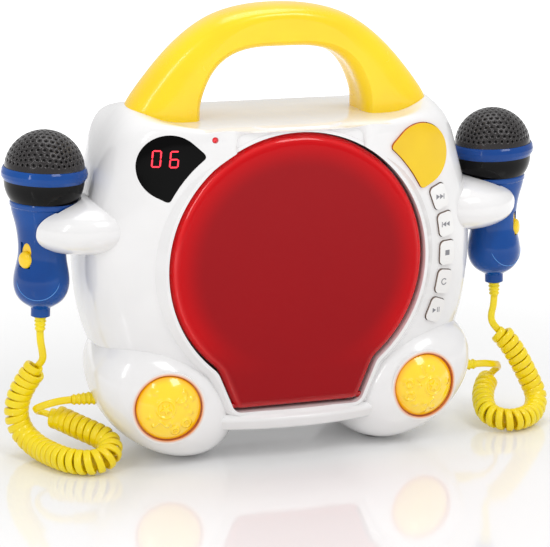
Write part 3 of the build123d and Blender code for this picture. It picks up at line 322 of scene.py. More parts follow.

# %% [markdown]
# ## Feet round the knobs, with a painted reflection
#
# Each foot's white is painted orange in a ring about the knob's own axis, which leans outwards
# by a few degrees: a painted reflection of the yellow knob on the seat round it.

# %% White feet with a painted orange ring
FOOT_CENTRE = np.array((67.5, 0.0, 35.8)) * MM
FOOT_YAW = math.radians(7.0)
KNOB_RADIUS = 17.3 * MM
REFLECTION_INNER, REFLECTION_OUTER = 0.0176, 0.0200
REFLECTION_BACK, REFLECTION_FRONT = 0.028, 0.034


def foot_axes(side):
    """A foot's centre, and its axes: across, up and out of its front."""
    across = np.array((math.cos(FOOT_YAW), side * math.sin(FOOT_YAW), 0.0))
    out = np.array((side * math.sin(FOOT_YAW), -math.cos(FOOT_YAW), 0.0))
    return FOOT_CENTRE * (side, 1, 1), np.array((across, (0.0, 0.0, 1.0), out))


def painted_knob_reflection(side):
    """Painted reflection of the knob: orange inside a radius about the knob's axis, only near the front.
    """
    centre, axes = foot_axes(side)

    def along(place, axis):
        x, y, z = place.axes()
        offset = -float(np.dot(centre, axis))
        return x * float(axis[0]) + y * float(axis[1]) + z * float(axis[2]) + offset

    def painted_light(place, normal, base):
        across, height, depth = (along(place, axis) for axis in axes)
        radius = (across * across + height * height).root()
        share = (1.0 - radius.ramp(REFLECTION_INNER, REFLECTION_OUTER)) * depth.ramp(REFLECTION_BACK, REFLECTION_FRONT)
        return share.colour(base, srgb("F2942A"))

    return painted_light


foot_white = {
    name: moulded(f"{name}_foot_white", "F2F1F1", "EDECEC", 0.2, 0.5, painted_light=painted_knob_reflection(side))
    for name, side in SIDES
}
print("feet:", sorted(foot_white))


# %% [markdown]
# ## Knobs with painted shade at the rim
#
# The knobs are yellow plastic, painted orange over the last fifth of the way to the rim as a
# painted shade where the dome falls away, and they carry a faint painted glow. The distance from
# the middle is kept as an attribute of the mesh, so the tint turns with the knob.

# %% Yellow to a painted orange shade
RIM_SHADE_START, RIM_SHADE_END = 0.80, 1.06


def knob_with_painted_shade(place, normal):
    """Share of orange: a painted shade as a soft step over the distance from the middle, with a little
    noise.
    """
    share = place.make("ShaderNodeAttribute", {}, 2, attribute_name="share")
    drift = place.noise(160, 3)
    shade_and_drift = share.ramp(RIM_SHADE_START, RIM_SHADE_END) * 0.6 + drift * 0.10
    return {
        "Base Color": shade_and_drift.colour(srgb("FFDC02"), srgb("F29400")),
        "Roughness": drift * 0.1 + 0.16,
        "Normal": place.noise(1800).bump(0.00002, 0.3),
    }


# The faint orange emission is a painted glow: the knob holds no lamp.
knob_yellow = finish(
    "knob_yellow", knob_with_painted_shade, Coat_Weight=1.0, Coat_Roughness=0.04, Emission_Color=(1.0, 0.55, 0.0, 1),
    Emission_Strength=0.12,
)
print("with the knobs:", len(bpy.data.materials))

# %% [markdown]
# ## Dressing the solids
#
# A table from finish to pieces keeps the choice of material in one place, and shows at once
# when a piece was forgotten.

# %% Finish of each solid
look = {
    white: ["front_shell", "back_shell", "left_arm", "right_arm", "battery_door"],
    button_white: [f"function_button_{n}" for n in range(1, 6)],
    yellow: ["handle", "left_mic_switch", "right_mic_switch"],
    open_yellow: ["open_button"],
    red: ["lid"],
    black: ["left_mic_bowl", "right_mic_bowl"],
    window: ["display_window"],
    lamp_red: ["power_led"],
    deck: ["disc_tray", "display_module", "dc_socket"],
    rubber: ["foot_pads"],
    grey: [
        "left_potentiometer", "right_potentiometer", "speaker", "latch", "turntable", "pickup_sled",
        "sled_gear",
    ],
    board_green: ["main_board", "key_board"],
    steel: ["housing_screws", "battery_contacts", "spindle_motor", "sled_rails", "sled_motor"],
    lens: ["pickup_lens"],
    grille_metal: ["left_mic_grille", "right_mic_grille"],
    knob_yellow: ["left_knob", "right_knob"],
    blue: [f"{n}_mic_{p}" for n, _ in SIDES for p in ("ring", "front_half", "rear_half")],
    cord_yellow: [
        f"{n}_{p}" for n, _ in SIDES
        for p in ("cord_gland", "mic_relief", "cord_upper_lead", "cord_coil", "cord_lower_lead")
    ],
    foot_white["left"]: ["left_foot_shell"],
    foot_white["right"]: ["right_foot_shell"],
}
for made, names in look.items():
    for node in names:
        nodes[node].data.materials.clear()
        nodes[node].data.materials.append(made)
print("without a finish:", sorted(set(nodes) - {n for names in look.values() for n in names}))


# %% [markdown]
# ## Surfaces from arrays
#
# Each new piece is an array of points and an array of faces. Points are worked out in the
# piece's own axes and then turned into place in one product, so no mesh is moved afterwards.

# %% Grids, turned shapes and skins
def grid_faces(rows, columns):
    """Quads of rows of points, each row closed into a ring."""
    row, column = np.meshgrid(np.arange(rows - 1), np.arange(columns), indexing="ij")
    here = row * columns + column
    beside = row * columns + (column + 1) % columns
    return np.stack([here, beside, beside + columns, here + columns], -1).reshape(-1, 4)


def piece_from(name, points, faces, made, body=None, closed=True):
    """A smooth mesh from points and faces; doubles are merged, so poles and seams close."""
    mesh = bpy.data.meshes.new(name)
    mesh.from_pydata(np.asarray(points).tolist(), [], np.asarray(faces).tolist())
    work = bmesh.new()
    work.from_mesh(mesh)
    bmesh.ops.remove_doubles(work, verts=work.verts, dist=1e-6)
    if closed:
        bmesh.ops.recalc_face_normals(work, faces=work.faces)
    work.to_mesh(mesh)
    work.free()
    mesh.polygons.foreach_set("use_smooth", np.ones(len(mesh.polygons), bool))
    mesh.materials.append(made)
    mesh.update()
    piece = bpy.data.objects.new(name, mesh)
    bpy.context.scene.collection.objects.link(piece)
    if body:
        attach(piece, body)
    return piece


def turned(profile, columns=64):
    """Points of a profile of radius and height turned about the third axis, and their faces."""
    profile = np.asarray(profile, float)
    angle = np.linspace(0, 2 * np.pi, columns, endpoint=False)
    radius, height = profile[:, :1], profile[:, 1:]
    grid = np.stack([radius * np.cos(angle), radius * np.sin(angle), height * np.ones(columns)], -1)
    return grid.reshape(-1, 3), grid_faces(len(profile), columns)


def surface_of(*names):
    """A search tree over the faces of solids."""
    corners, faces = [], []
    for node in names:
        mesh = nodes[node].data
        start = len(corners)
        corners += [v.co.copy() for v in mesh.vertices]
        faces += [tuple(start + i for i in p.vertices) for p in mesh.polygons]
    return BVHTree.FromPolygons(corners, faces)


def lay_on(tree, points, direction, lift):
    """Points moved along a direction until they meet a surface, then lifted off it."""
    ray = Vector(direction).normalized()
    landed = []
    for point in points:
        hit, normal, _, _ = tree.ray_cast(Vector(point), ray)
        landed.append(hit + normal * (lift if normal.dot(ray) < 0 else -lift))
    return np.array(landed)


print("faces of a 3 by 8 grid:", len(grid_faces(3, 8)))

# %% [markdown]
# ## Routes of the cords
#
# A curly cord leaves each microphone, drops to the floor beside the player, doubles back and
# climbs to the foot's side. Its middle line is a smooth spline steered by the same points as
# the solid cord's route. Only the coil between the two straight leads is wound.

# %% Route points, in millimetres
MIC_RING = np.array((128.4, 0.0, 158.0)) * MM
MIC_LEAN = math.radians(2.74)
RELIEF_X = 132.54
routes = {
    "left": {
        "upper": [(-RELIEF_X, 0, 71.5), (-RELIEF_X, 0, 65.8), (-131.3, 0.9, 60.0), (-130.7, 2.1, 54.7)],
        "coil": [
            (-133.2, 3.2, 51.2), (-138.6, 5.6, 43.6), (-143.4, 7.2, 34.5), (-145.6, 8.0, 23.5),
            (-142.6, 6.5, 13.0), (-136.3, -3.0, 7.2), (-131.0, -16.0, 6.7), (-124.5, -29.5, 6.7),
            (-114.0, -37.0, 6.9), (-103.5, -35.5, 8.6), (-100.2, -25.0, 13.4), (-107.5, -17.5, 16.6),
            (-115.0, -8.5, 18.6), (-121.0, 1.0, 20.2), (-127.0, 5.0, 22.0),
        ],
        "lower": [
            (-131.0, 7.6, 23.2), (-135.4, 4.6, 25.0), (-136.0, -0.8, 28.0), (-133.4, -5.4, 30.8),
            (-128.8, -8.4, 33.0), (-123.4, -9.4, 34.2), (-118.0, -9.4, 34.2),
        ],
        "turns": 36,
    },
    "right": {
        "upper": [(RELIEF_X, 0, 71.5), (RELIEF_X, 0, 65.8), (131.0, 0.2, 60.0), (131.72, -0.08, 55.2)],
        "coil": [
            (134.6, -2.0, 51.5), (140.6, -6.0, 43.8), (145.8, -9.3, 34.5), (150.8, -11.5, 24.0),
            (155.6, -14.0, 12.8), (149.5, -23.5, 7.0), (139.5, -31.5, 6.7), (128.6, -34.0, 6.7),
            (119.8, -26.0, 8.5), (121.5, -13.5, 13.2), (126.5, -3.5, 18.0), (133.0, 3.5, 21.5),
        ],
        "lower": [
            (135.9, 6.7, 23.1), (138.9, 4.4, 26.6), (137.0, -0.6, 29.6), (132.4, -5.2, 31.6),
            (127.6, -8.2, 33.2), (123.0, -9.4, 34.2), (118.0, -9.4, 34.2),
        ],
        "turns": 29,
    },
}
print("route points:", {name: len(r["upper"] + r["coil"] + r["lower"]) for name, r in routes.items()})


# %% [markdown]
# ## Winding a flat cord
#
# The cord is flat like a ribbon, about four by two millimetres. A sideways direction is carried
# along the middle line without twisting, and turning it round the line gives the helix. The
# helix grows out of the lead over most of its first turn and shrinks back over its last. The
# ribbon keeps a broad side towards the middle of the coil.

# %% Middle line and helix
COIL_RADIUS = {"left": 6.8 * MM, "right": 6.4 * MM}
CORD_WIDTH, CORD_THICKNESS = 4.1 * MM, 2.3 * MM
UPPER_STEPS, TURN_STEPS, LOWER_STEPS = 40, 30, 50
TURNS_TO_GROW = 0.8


def spline_line(name, points):
    """Points along a smooth spline that has these points, in millimetres, as its controls."""
    curve = bpy.data.curves.new(name, "CURVE")
    curve.dimensions = "3D"
    spline = curve.splines.new("NURBS")
    spline.points.add(len(points) - 1)
    controls = np.column_stack([np.array(points) * MM, np.ones(len(points))])
    spline.points.foreach_set("co", controls.ravel())
    spline.order_u = 3
    spline.use_endpoint_u = True
    spline.resolution_u = 24
    holder = bpy.data.objects.new(name, curve)
    bpy.context.scene.collection.objects.link(holder)
    mesh = bpy.data.meshes.new_from_object(holder)
    line = np.empty(len(mesh.vertices) * 3)
    mesh.vertices.foreach_get("co", line)
    bpy.data.objects.remove(holder)
    bpy.data.meshes.remove(mesh)
    return line.reshape(-1, 3)


def distances(line):
    """Distance from a line's first point to each of its points, along it."""
    return np.concatenate([[0], np.cumsum(np.linalg.norm(np.diff(line, axis=0), axis=1))])


def unit(vectors):
    """Vectors scaled to length one."""
    return vectors / np.linalg.norm(vectors, axis=-1, keepdims=True)


def carried(directions, start):
    """A sideways direction for each point: the last one, less its part along the line."""
    found = [unit(start - directions[0] * np.dot(start, directions[0]))]
    for direction in directions[1:]:
        found.append(unit(found[-1] - direction * np.dot(found[-1], direction)))
    return np.array(found)


def wound(route, coil_radius):
    """The wound line, the direction out of the coil at each point, and the middle line."""
    line = spline_line("route", route["upper"] + route["coil"] + route["lower"])
    steps = distances(line)
    coil_ends = [np.array(route["coil"][end]) * MM for end in (0, -1)]
    begin, stop = (steps[np.argmin(np.linalg.norm(line - end, axis=1))] for end in coil_ends)
    turns = route["turns"]
    at = np.concatenate([
        np.linspace(0, begin, UPPER_STEPS)[:-1],
        np.linspace(begin, stop, turns * TURN_STEPS)[:-1],
        np.linspace(stop, steps[-1], LOWER_STEPS),
    ])
    middle = np.stack([np.interp(at, steps, line[:, axis]) for axis in range(3)], 1)
    forward = unit(np.gradient(middle, axis=0))
    sideways = carried(forward, np.array((0.0, 1.0, 0.0)))
    turn = np.clip((at - begin) / (stop - begin), 0, 1) * turns
    rise = np.clip(np.minimum(turn, turns - turn) / TURNS_TO_GROW, 0, 1)
    radius = (coil_radius - CORD_THICKNESS / 2) * rise**2 * (3 - 2 * rise)
    angle = turn[:, None] * 2 * np.pi
    outward = np.cos(angle) * sideways + np.sin(angle) * np.cross(forward, sideways)
    return middle + outward * radius[:, None], outward, middle


lines = {name: wound(routes[name], COIL_RADIUS[name]) for name, _ in SIDES}
print("cord lengths:", {name: round(float(distances(made[0])[-1]), 3) for name, made in lines.items()})


# %% [markdown]
# ## The cords themselves
#
# A ring of points with the ribbon's rounded outline is swept along the wound line.

# %% Sweep the ribbon
RIBBON_SIDES = 16
LOWEST_CORD = 0.0002


def ribbon(line, outward):
    """Rings along a line: width across it, thickness along outward, corners rounded."""
    tangent = unit(np.gradient(line, axis=0))
    thin = unit(outward - tangent * np.sum(outward * tangent, axis=1, keepdims=True))
    wide = np.cross(tangent, thin)
    angle = np.linspace(0, 2 * np.pi, RIBBON_SIDES, endpoint=False)
    across = np.sign(np.cos(angle)) * np.abs(np.cos(angle)) ** 0.7 * CORD_WIDTH / 2
    through = np.sign(np.sin(angle)) * np.abs(np.sin(angle)) ** 0.8 * CORD_THICKNESS / 2
    rings = line[:, None] + wide[:, None] * across[:, None] + thin[:, None] * through[:, None]
    return rings.reshape(-1, 3)


for name, _ in SIDES:
    line, outward, middle = lines[name]
    points = ribbon(line, outward)
    points[:, 2] = np.maximum(points[:, 2], LOWEST_CORD)
    first, last = (np.repeat(line[end][None], RIBBON_SIDES, 0) for end in (0, -1))
    points = np.vstack([first, points, last])
    faces = grid_faces(len(line) + 2, RIBBON_SIDES)
    cord = piece_from(f"{name}_cord", points, faces, cord_yellow)
    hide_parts(f"{name}_cord_upper_lead", f"{name}_cord_coil", f"{name}_cord_lower_lead")
    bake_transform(cord)
    print(name, "cord:", len(cord.data.polygons), "faces")


# %% [markdown]
# ## Perforated heads
#
# Punched holes on a dome lie in staggered rows. The corners of an icosphere already do: each
# becomes the middle of a hole, and each triangle gives a sixth of the sheet round its three
# holes. Holes stop above a plain band at the foot of the dome. Foam shows dark behind them.

# %% Holes on a dome
GRILLE_RADIUS, GRILLE_WALL = 21.4 * MM, 1.2 * MM
GRILLE_CENTRE_T, GRILLE_BASE_T = 1.6 * MM, 2.2 * MM
HOLE_RADIUS, PLAIN_BAND = 0.80 * MM, 4.0 * MM
FOAM_GAP, FOAM_LIFT = 0.2 * MM, 0.7 * MM


def mic_axes(side):
    """A microphone's ring centre, and its axes: out to +X, towards the back, and up."""
    across = np.array((math.cos(MIC_LEAN), 0.0, side * math.sin(MIC_LEAN)))
    up = np.array((-side * math.sin(MIC_LEAN), 0.0, math.cos(MIC_LEAN)))
    return MIC_RING * (side, 1, 1), np.array((across, np.cross(up, across), up))


def icosphere():
    """Corners and triangles of a sphere of radius one, with a corner at the top."""
    work = bmesh.new()
    bmesh.ops.create_icosphere(work, subdivisions=4, radius=1)
    corners = np.array([v.co for v in work.verts])
    triangles = np.array([[v.index for v in f.verts] for f in work.faces])
    work.free()
    return corners, triangles


def toward(start, end, angle):
    """The point at an angle from start on the sphere, on the way to end."""
    side = unit(end - start * np.sum(start * end, axis=-1, keepdims=True))
    return start * math.cos(angle) + side * math.sin(angle)


def pierced_dome():
    """Points and faces of the dome's sheet: outside, inside and the walls of its holes."""
    corners, triangles = icosphere()
    base = math.acos((GRILLE_BASE_T - GRILLE_CENTRE_T) / GRILLE_RADIUS)
    lowest = base - PLAIN_BAND / GRILLE_RADIUS
    keep = np.arccos(np.clip(corners[triangles][..., 2], -1, 1)).min(1) < base
    shifted = (np.roll(triangles[keep], -turn, 1) for turn in range(3))
    here, second, third = (corners[order].reshape(-1, 3) for order in shifted)
    middle, left, right = unit(here + second + third), unit(here + second), unit(here + third)
    hole = [toward(here, end, HOLE_RADIUS / GRILLE_RADIUS) for end in (left, middle, right)]
    open_here = (np.arccos(np.clip(here[:, 2], -1, 1)) < lowest)[:, None, None]
    pierced = (
        np.stack([left, middle, hole[1], hole[0]], 1), np.stack([middle, right, hole[2], hole[1]], 1),
    )
    plain = np.stack([left, middle, here, here], 1), np.stack([middle, right, here, here], 1)
    sheet = np.concatenate([np.where(open_here, *pair) for pair in zip(pierced, plain)])
    inner = (GRILLE_RADIUS - GRILLE_WALL) / GRILLE_RADIUS
    rims = np.concatenate([np.stack([hole[part], hole[part + 1]], 1) for part in (0, 1)])
    rims = rims[np.concatenate([open_here, open_here]).ravel()]
    walls = np.stack([rims[:, 0], rims[:, 1], rims[:, 1] * inner, rims[:, 0] * inner], 1)
    quads = np.concatenate([sheet, sheet[:, ::-1] * inner, walls])
    level = np.linalg.norm(quads, axis=-1, keepdims=True)
    polar = np.minimum(np.arccos(np.clip(quads[..., 2:] / level, -1, 1)), base)
    flat = np.concatenate([unit(quads[..., :2] + 1e-12) * np.sin(polar), np.cos(polar)], -1) * level
    return flat.reshape(-1, 3), np.arange(len(flat) * 4).reshape(-1, 4)


dome_points, dome_faces = pierced_dome()
foam_angle = np.linspace(0, math.pi / 2, 20)
foam_radius = GRILLE_RADIUS - GRILLE_WALL - FOAM_GAP
foam_profile = np.column_stack([np.sin(foam_angle), np.cos(foam_angle)]) * foam_radius
foam_points, foam_faces = turned(np.vstack([foam_profile, (0, 0)]))
for name, side in SIDES:
    origin, axes = mic_axes(side)
    dome = (dome_points * GRILLE_RADIUS + (0, 0, GRILLE_CENTRE_T)) @ axes + origin
    head = piece_from(f"{name}_grille", dome, dome_faces, grille_metal, f"{name}_mic")
    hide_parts(f"{name}_mic_grille")
    foam = (foam_points + (0, 0, GRILLE_CENTRE_T + FOAM_LIFT)) @ axes + origin
    piece_from(f"{name}_foam", foam, foam_faces, rubber, f"{name}_mic")
    print(name, "head:", len(head.data.polygons), "faces")


# %% [markdown]
# ## Thumb switches
#
# The switch is an oval button, domed so that a small thumb finds it. It is a polar grid whose
# height falls from the middle as a superellipse. The floor of its slot is yellow too, a thin
# strip that stays with the microphone while the switch slides over it.

# %% Domed switch caps
SWITCH_TURN = math.radians(55.0)
SWITCH_T, SWITCH_OUT = -45.5 * MM, 12.6 * MM
SLOT_AT = np.array((0, 2.5 * MM, -0.88 * MM))
OVAL_ROWS, OVAL_SIDES = 18, 48


def switch_axes(side):
    """The middle of a switch on its handle, and its axes: across, up the handle and out."""
    origin, (across, back, up) = mic_axes(side)
    out = across * side * math.sin(SWITCH_TURN) - back * math.cos(SWITCH_TURN)
    return origin + up * SWITCH_T + out * SWITCH_OUT, np.array((np.cross(up, out), up, out))


def domed_oval(width, height, dome, skirt, power=2.4):
    """A closed cap: height over the middle is dome times the superellipse's falling side."""
    share = np.sin(np.linspace(0, np.pi / 2, OVAL_ROWS))[:, None]
    angle = np.linspace(0, 2 * np.pi, OVAL_SIDES, endpoint=False)
    across, along = share * width * np.cos(angle), share * height * np.sin(angle)
    top = np.maximum(1 - share**power, 0) ** (1 / power) * dome
    rows = [np.stack([across, along, top * np.ones(OVAL_SIDES)], -1)]
    edge = rows[0][-1:]
    rows += [edge * (1, 1, 0) - (0, 0, skirt), edge * 0 - (0, 0, skirt)]
    points = np.concatenate(rows)
    return points.reshape(-1, 3), grid_faces(len(points), OVAL_SIDES)


for name, side in SIDES:
    centre, axes = switch_axes(side)
    points, faces = domed_oval(4.2 * MM, 4.6 * MM, dome=2.5 * MM, skirt=0.8 * MM)
    cap = piece_from(
        f"{name}_switch_cap", points @ axes + centre, faces, yellow, f"{name}_mic_switch"
    )
    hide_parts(f"{name}_mic_switch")
    points, faces = domed_oval(3.3 * MM, 6.4 * MM, dome=0.02 * MM, skirt=0.02 * MM, power=6)
    points = (points + SLOT_AT) @ axes + centre
    piece_from(f"{name}_slot_floor", points, faces, yellow, f"{name}_mic")
    print(name, "switch at", [round(float(v), 4) for v in centre])


# %% [markdown]
# ## Ribbed strain reliefs and glands
#
# Soft sleeves keep the cord from kinking where it leaves the microphone and enters the foot.
# Both are turned profiles whose radius is a slow taper plus a row of ribs.

# %% Ribbed sleeves
GLAND_AT = np.array((0.0, -9.4, 34.2)) * MM
SLEEVE_SIDES = 40


def ribbed(start, end, wide, narrow, ribs, depth):
    """A closed profile: radius tapers from wide to narrow, less depth at each groove."""
    share = np.linspace(0, 1, ribs * 12 + 1)
    groove = np.clip(-np.cos(share * ribs * 2 * np.pi), -0.4, 1) * depth / 2 - depth / 2
    radius = wide + (narrow - wide) * share + groove
    height = start + (end - start) * share
    return np.vstack([(0, start), np.column_stack([radius, height]), (0, end)])


for name, side in SIDES:
    origin, axes = mic_axes(side)
    profile = ribbed(-77.9 * MM, -86.4 * MM, 3.5 * MM, 2.9 * MM, ribs=4, depth=0.75 * MM)
    points, faces = turned(profile, SLEEVE_SIDES)
    points = points @ axes + origin
    relief = piece_from(f"{name}_relief", points, faces, cord_yellow, f"{name}_mic")
    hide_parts(f"{name}_mic_relief")
    axes = np.array(((0.0, 1.0, 0.0), (0.0, 0.0, 1.0), (float(side), 0.0, 0.0)))
    profile = ribbed(104.5 * MM, 118.0 * MM, 3.9 * MM, 2.9 * MM, ribs=5, depth=0.8 * MM)
    points, faces = turned(profile, SLEEVE_SIDES)
    points = points @ axes + GLAND_AT
    gland = piece_from(f"{name}_gland", points, faces, cord_yellow, "chassis")
    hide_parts(f"{name}_cord_gland")
print("sleeve faces:", len(faces))


# %% [markdown]
# ## The lip under the lid
#
# Below the lid the front swells into a smooth lip that runs into both feet. Its section is a
# short outline with soft corners, and it is carried round a tall upright axis behind the player,
# which bows it gently. Its ends are buried in the feet, so no cut edge shows.

# %% A bowed lip
def softened(corners, radii, steps=9):
    """A closed outline: each corner becomes a parabola between the points an arc would touch."""
    corners, radii = np.asarray(corners, float), np.asarray(radii, float)[:, None]
    back, ahead = unit(np.roll(corners, 1, 0) - corners), unit(np.roll(corners, -1, 0) - corners)
    half = np.arccos(np.sum(back * ahead, axis=1, keepdims=True)) / 2
    reach = radii / np.tan(half)
    start, end = corners + back * reach, corners + ahead * reach
    share = np.linspace(0, 1, steps)[:, None, None]
    curve = (1 - share) ** 2 * start + 2 * share * (1 - share) * corners + share**2 * end
    return curve.transpose(1, 0, 2).reshape(-1, 2)


def bowed(section, axis_y, half_angle, steps=60):
    """A section of y and z carried round an upright axis, with both ends closed."""
    angle = np.linspace(-half_angle, half_angle, steps)[:, None]
    radius = axis_y - section[:, 0]
    height = np.broadcast_to(section[:, 1], (steps, len(section)))
    rings = np.stack([radius * np.sin(angle), axis_y - radius * np.cos(angle), height], -1)
    rings = np.concatenate([rings[:1] * 0 + rings[0].mean(0), rings, rings[:1] * 0 + rings[-1].mean(0)])
    return rings.reshape(-1, 3), grid_faces(len(rings), len(section))


LIP_SECTION = np.array(
    ((-45.2, 28.1), (-48.5, 25.6), (-45.8, 19.4), (-34.0, 16.35), (-38.0, 22.5), (-43.5, 26.2))
) * MM
LIP_ROUNDS = np.array((0.05, 2.0, 4.0, 0.5, 1.0, 0.5)) * MM
LIP_AXIS_Y, LIP_HALF_ANGLE = 114.0 * MM, math.radians(16.5)
points, faces = bowed(softened(LIP_SECTION, LIP_ROUNDS), LIP_AXIS_Y, LIP_HALF_ANGLE)
piece_from("front_lip", points, faces, white, "chassis")
print("lip:", round(float(points[:, 0].max()) / MM, 1), "mm to each side")


# %% [markdown]
# ## The bead on the microphone's handle
#
# A fine bead follows the edge of the rounded grip below the switch. Its line is an arc drawn in
# front of the handle and then dropped onto it, and a thin tube is swept along what it meets. Its
# lighter blue is a painted highlight along the seam.

# %% A bead dropped onto the handle
BEAD_TURN = math.radians(22.0)
BEAD_T, BEAD_AHEAD = -55.5 * MM, 40 * MM
BEAD_WIDE, BEAD_HIGH = 11.6 * MM, 11.0 * MM
BEAD_START, BEAD_END, BEAD_STEPS = math.radians(188), math.radians(352), 90
BEAD_RADIUS, BEAD_LIFT = 0.22 * MM, 0.05 * MM
BEAD_FADE = 6


def tube_along(line, radius, columns=10):
    """Rings about a line, each in the plane across it; the tube narrows to a point at its ends."""
    forward = unit(np.gradient(line, axis=0))
    sideways = carried(forward, np.array((0.3, -1.0, 0.2)))
    other = np.cross(forward, sideways)
    angle = np.linspace(0, 2 * np.pi, columns, endpoint=False)[:, None]
    ring = np.cos(angle) * sideways[:, None] + np.sin(angle) * other[:, None]
    count = np.arange(len(line))
    taper = np.minimum(1, np.minimum(count, count[::-1]) / BEAD_FADE)[:, None, None]
    return (line[:, None] + ring * radius * taper).reshape(-1, 3), grid_faces(len(line), columns)


for name, side in SIDES:
    origin, (across, back, up) = mic_axes(side)
    out = across * side * math.sin(BEAD_TURN) - back * math.cos(BEAD_TURN)
    along = np.cross(up, out)
    angle = np.linspace(BEAD_START, BEAD_END, BEAD_STEPS)[:, None]
    arc = origin + up * BEAD_T + out * BEAD_AHEAD
    arc = arc + along * np.cos(angle) * BEAD_WIDE + up * np.sin(angle) * BEAD_HIGH
    handle_skin = surface_of(f"{name}_mic_front_half", f"{name}_mic_rear_half")
    line = lay_on(handle_skin, arc, -out, BEAD_LIFT)
    points, faces = tube_along(line, BEAD_RADIUS)
    piece_from(f"{name}_bead", points, faces, seam_painted_highlight, f"{name}_mic")
    print(name, "bead:", round(float(distances(line)[-1]) / MM, 1), "mm long")


# %% [markdown]
# ## Knobs with relief
#
# A knob is a shallow dome with raised marks that a child can feel: a star in a ring, beads,
# small rings, a wave and a crescent. The dome is a polar grid. The marks are a height from 0 to
# 1 over it: apart from the star, each is a soft ridge where a distance is zero.

# %% Raised marks
def ridge(distance, width):
    """A soft ridge where the distance is zero."""
    return np.exp(-((distance / width) ** 2))


def star(x, y, size, turn):
    """1 inside a five-pointed star and 0 outside, with soft edges."""
    share = np.abs(((np.arctan2(y, x) + turn) / (2 * np.pi) * 5) % 1 - 0.5) * 2
    return 1 / (1 + np.exp((np.hypot(x, y) / size - 0.45 - 0.55 * share**1.3) / 0.05))


def marks_on_knob(x, y):
    """Height of the marks, from 0 to 1, at a place in millimetres from the middle."""
    ring = ridge(np.hypot(x + 2.2, y - 1.5) - 4.8, 0.75) * 0.7
    small = ridge(np.hypot(x - 9.0, y + 7.4) - 2.2, 0.75)
    small += ridge(np.hypot(x - 3.0, y + 11.5) - 1.9, 0.7)
    places = ((8.6, 2.6), (11.4, -1.8), (-10.5, -3.4), (1.0, -6.6), (-7.6, 10.0), (12.3, 5.6))
    beads = sum(ridge(np.hypot(x - a, y - b), 1.3) for a, b in places)
    crescent = ridge(np.hypot(x - 6.0, y - 7.6) - 3.0, 1.0) * (x - y > -2.5)
    wave = ridge(y + 7.0 - 1.3 * np.sin(x * 0.9), 0.9) * (x > -9.5) * (x < -0.5)
    middle = star(x + 2.2, y - 1.5, size=3.0, turn=0.3)
    return np.clip(ring + small + beads + crescent + wave + middle, 0, 1)


print("height at the middle of the star:", round(float(marks_on_knob(-2.2, 1.5)), 2))


# %% [markdown]
# The dome is a part of a ball: its height is the ball's, less what the ball loses at the rim.
# It sits a little low, to leave room for the relief, which fades out towards the rim.

# %% Knob caps
KNOB_DOME, KNOB_RIM, KNOB_BACK = 7.0 * MM, 43.7 * MM, 42.2 * MM
RELIEF, KNOB_SINK = 1.3 * MM, 0.4 * MM


def knob_cap(turn, rows=120, columns=220):
    """Points and faces of a closed cap with its marks turned by an angle."""
    share = np.linspace(0, 1, rows)[:, None] ** 0.85
    angle = np.linspace(0, 2 * np.pi, columns, endpoint=False)
    radius = share * KNOB_RADIUS
    ball = (KNOB_RADIUS**2 + KNOB_DOME**2) / (2 * KNOB_DOME)
    dome = np.sqrt(ball**2 - radius**2) - ball + KNOB_DOME + KNOB_RIM - KNOB_SINK
    x, y = radius / MM * np.cos(angle + turn), radius / MM * np.sin(angle + turn)
    height = dome + RELIEF * marks_on_knob(x, y) * np.clip((1 - share) / 0.1, 0, 1)
    rows_of_points = np.stack([radius * np.cos(angle), radius * np.sin(angle), height], -1)
    skirt = rows_of_points[-1:] * (1, 1, 0) + (0, 0, KNOB_BACK)
    points = np.concatenate([rows_of_points, skirt, skirt * (0, 0, 1)])
    return points.reshape(-1, 3), grid_faces(rows + 2, columns)


for (name, side), turn in zip(SIDES, (0.0, 2.1)):
    centre, axes = foot_axes(side)
    points, faces = knob_cap(turn)
    cap = piece_from(
        f"{name}_knob_cap", points @ axes + centre, faces, knob_yellow, f"{name}_knob"
    )
    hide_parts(f"{name}_knob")
    places = np.empty(len(cap.data.vertices) * 3)
    cap.data.vertices.foreach_get("co", places)
    local = (places.reshape(-1, 3) - centre) @ axes.T
    share = np.hypot(local[:, 0], local[:, 1]) / KNOB_RADIUS
    cap.data.attributes.new("share", "FLOAT", "POINT").data.foreach_set("value", share.astype(np.float32))
    print(name, "knob:", len(cap.data.polygons), "faces")


# %% [markdown]
# ## Lit figures in the window
#
# The display shows a track number in seven-segment figures. A segment is a long hexagon, and
# each is laid on the window as a skin thinner than paper, so it follows the window's curve.

# %% Skins laid on a surface
def clockwise(outline):
    """The outline, turned round if twice its signed area is positive."""
    x, z = outline.T
    return outline[::-1] if np.dot(x, np.roll(z, -1)) > np.dot(z, np.roll(x, -1)) else outline


def skins(name, outlines, tree, made, body, lift=0.06 * MM):
    """Each outline in x and z becomes rings about its middle, laid on from the front."""
    in_front = -0.2
    points, faces = [], []
    for outline in map(clockwise, outlines):
        centre = outline.mean(0)
        rings = np.concatenate([centre + (outline - centre) * share for share in (0.0, 0.5, 1.0)])
        starts = np.column_stack([rings[:, 0], np.full(len(rings), in_front), rings[:, 1]])
        faces.append(grid_faces(3, len(outline)) + sum(len(part) for part in points))
        points.append(lay_on(tree, starts, (0, 1, 0), lift))
    return piece_from(name, np.concatenate(points), np.concatenate(faces), made, body, closed=False)


FIGURES = {"0": "abcdef", "6": "acdefg"}
FIGURE_WIDTH, FIGURE_HEIGHT, STROKE = 4.1 * MM, 8.3 * MM, 0.75 * MM
FIGURE_SLANT, SEGMENT_GAP = 0.10, 0.15


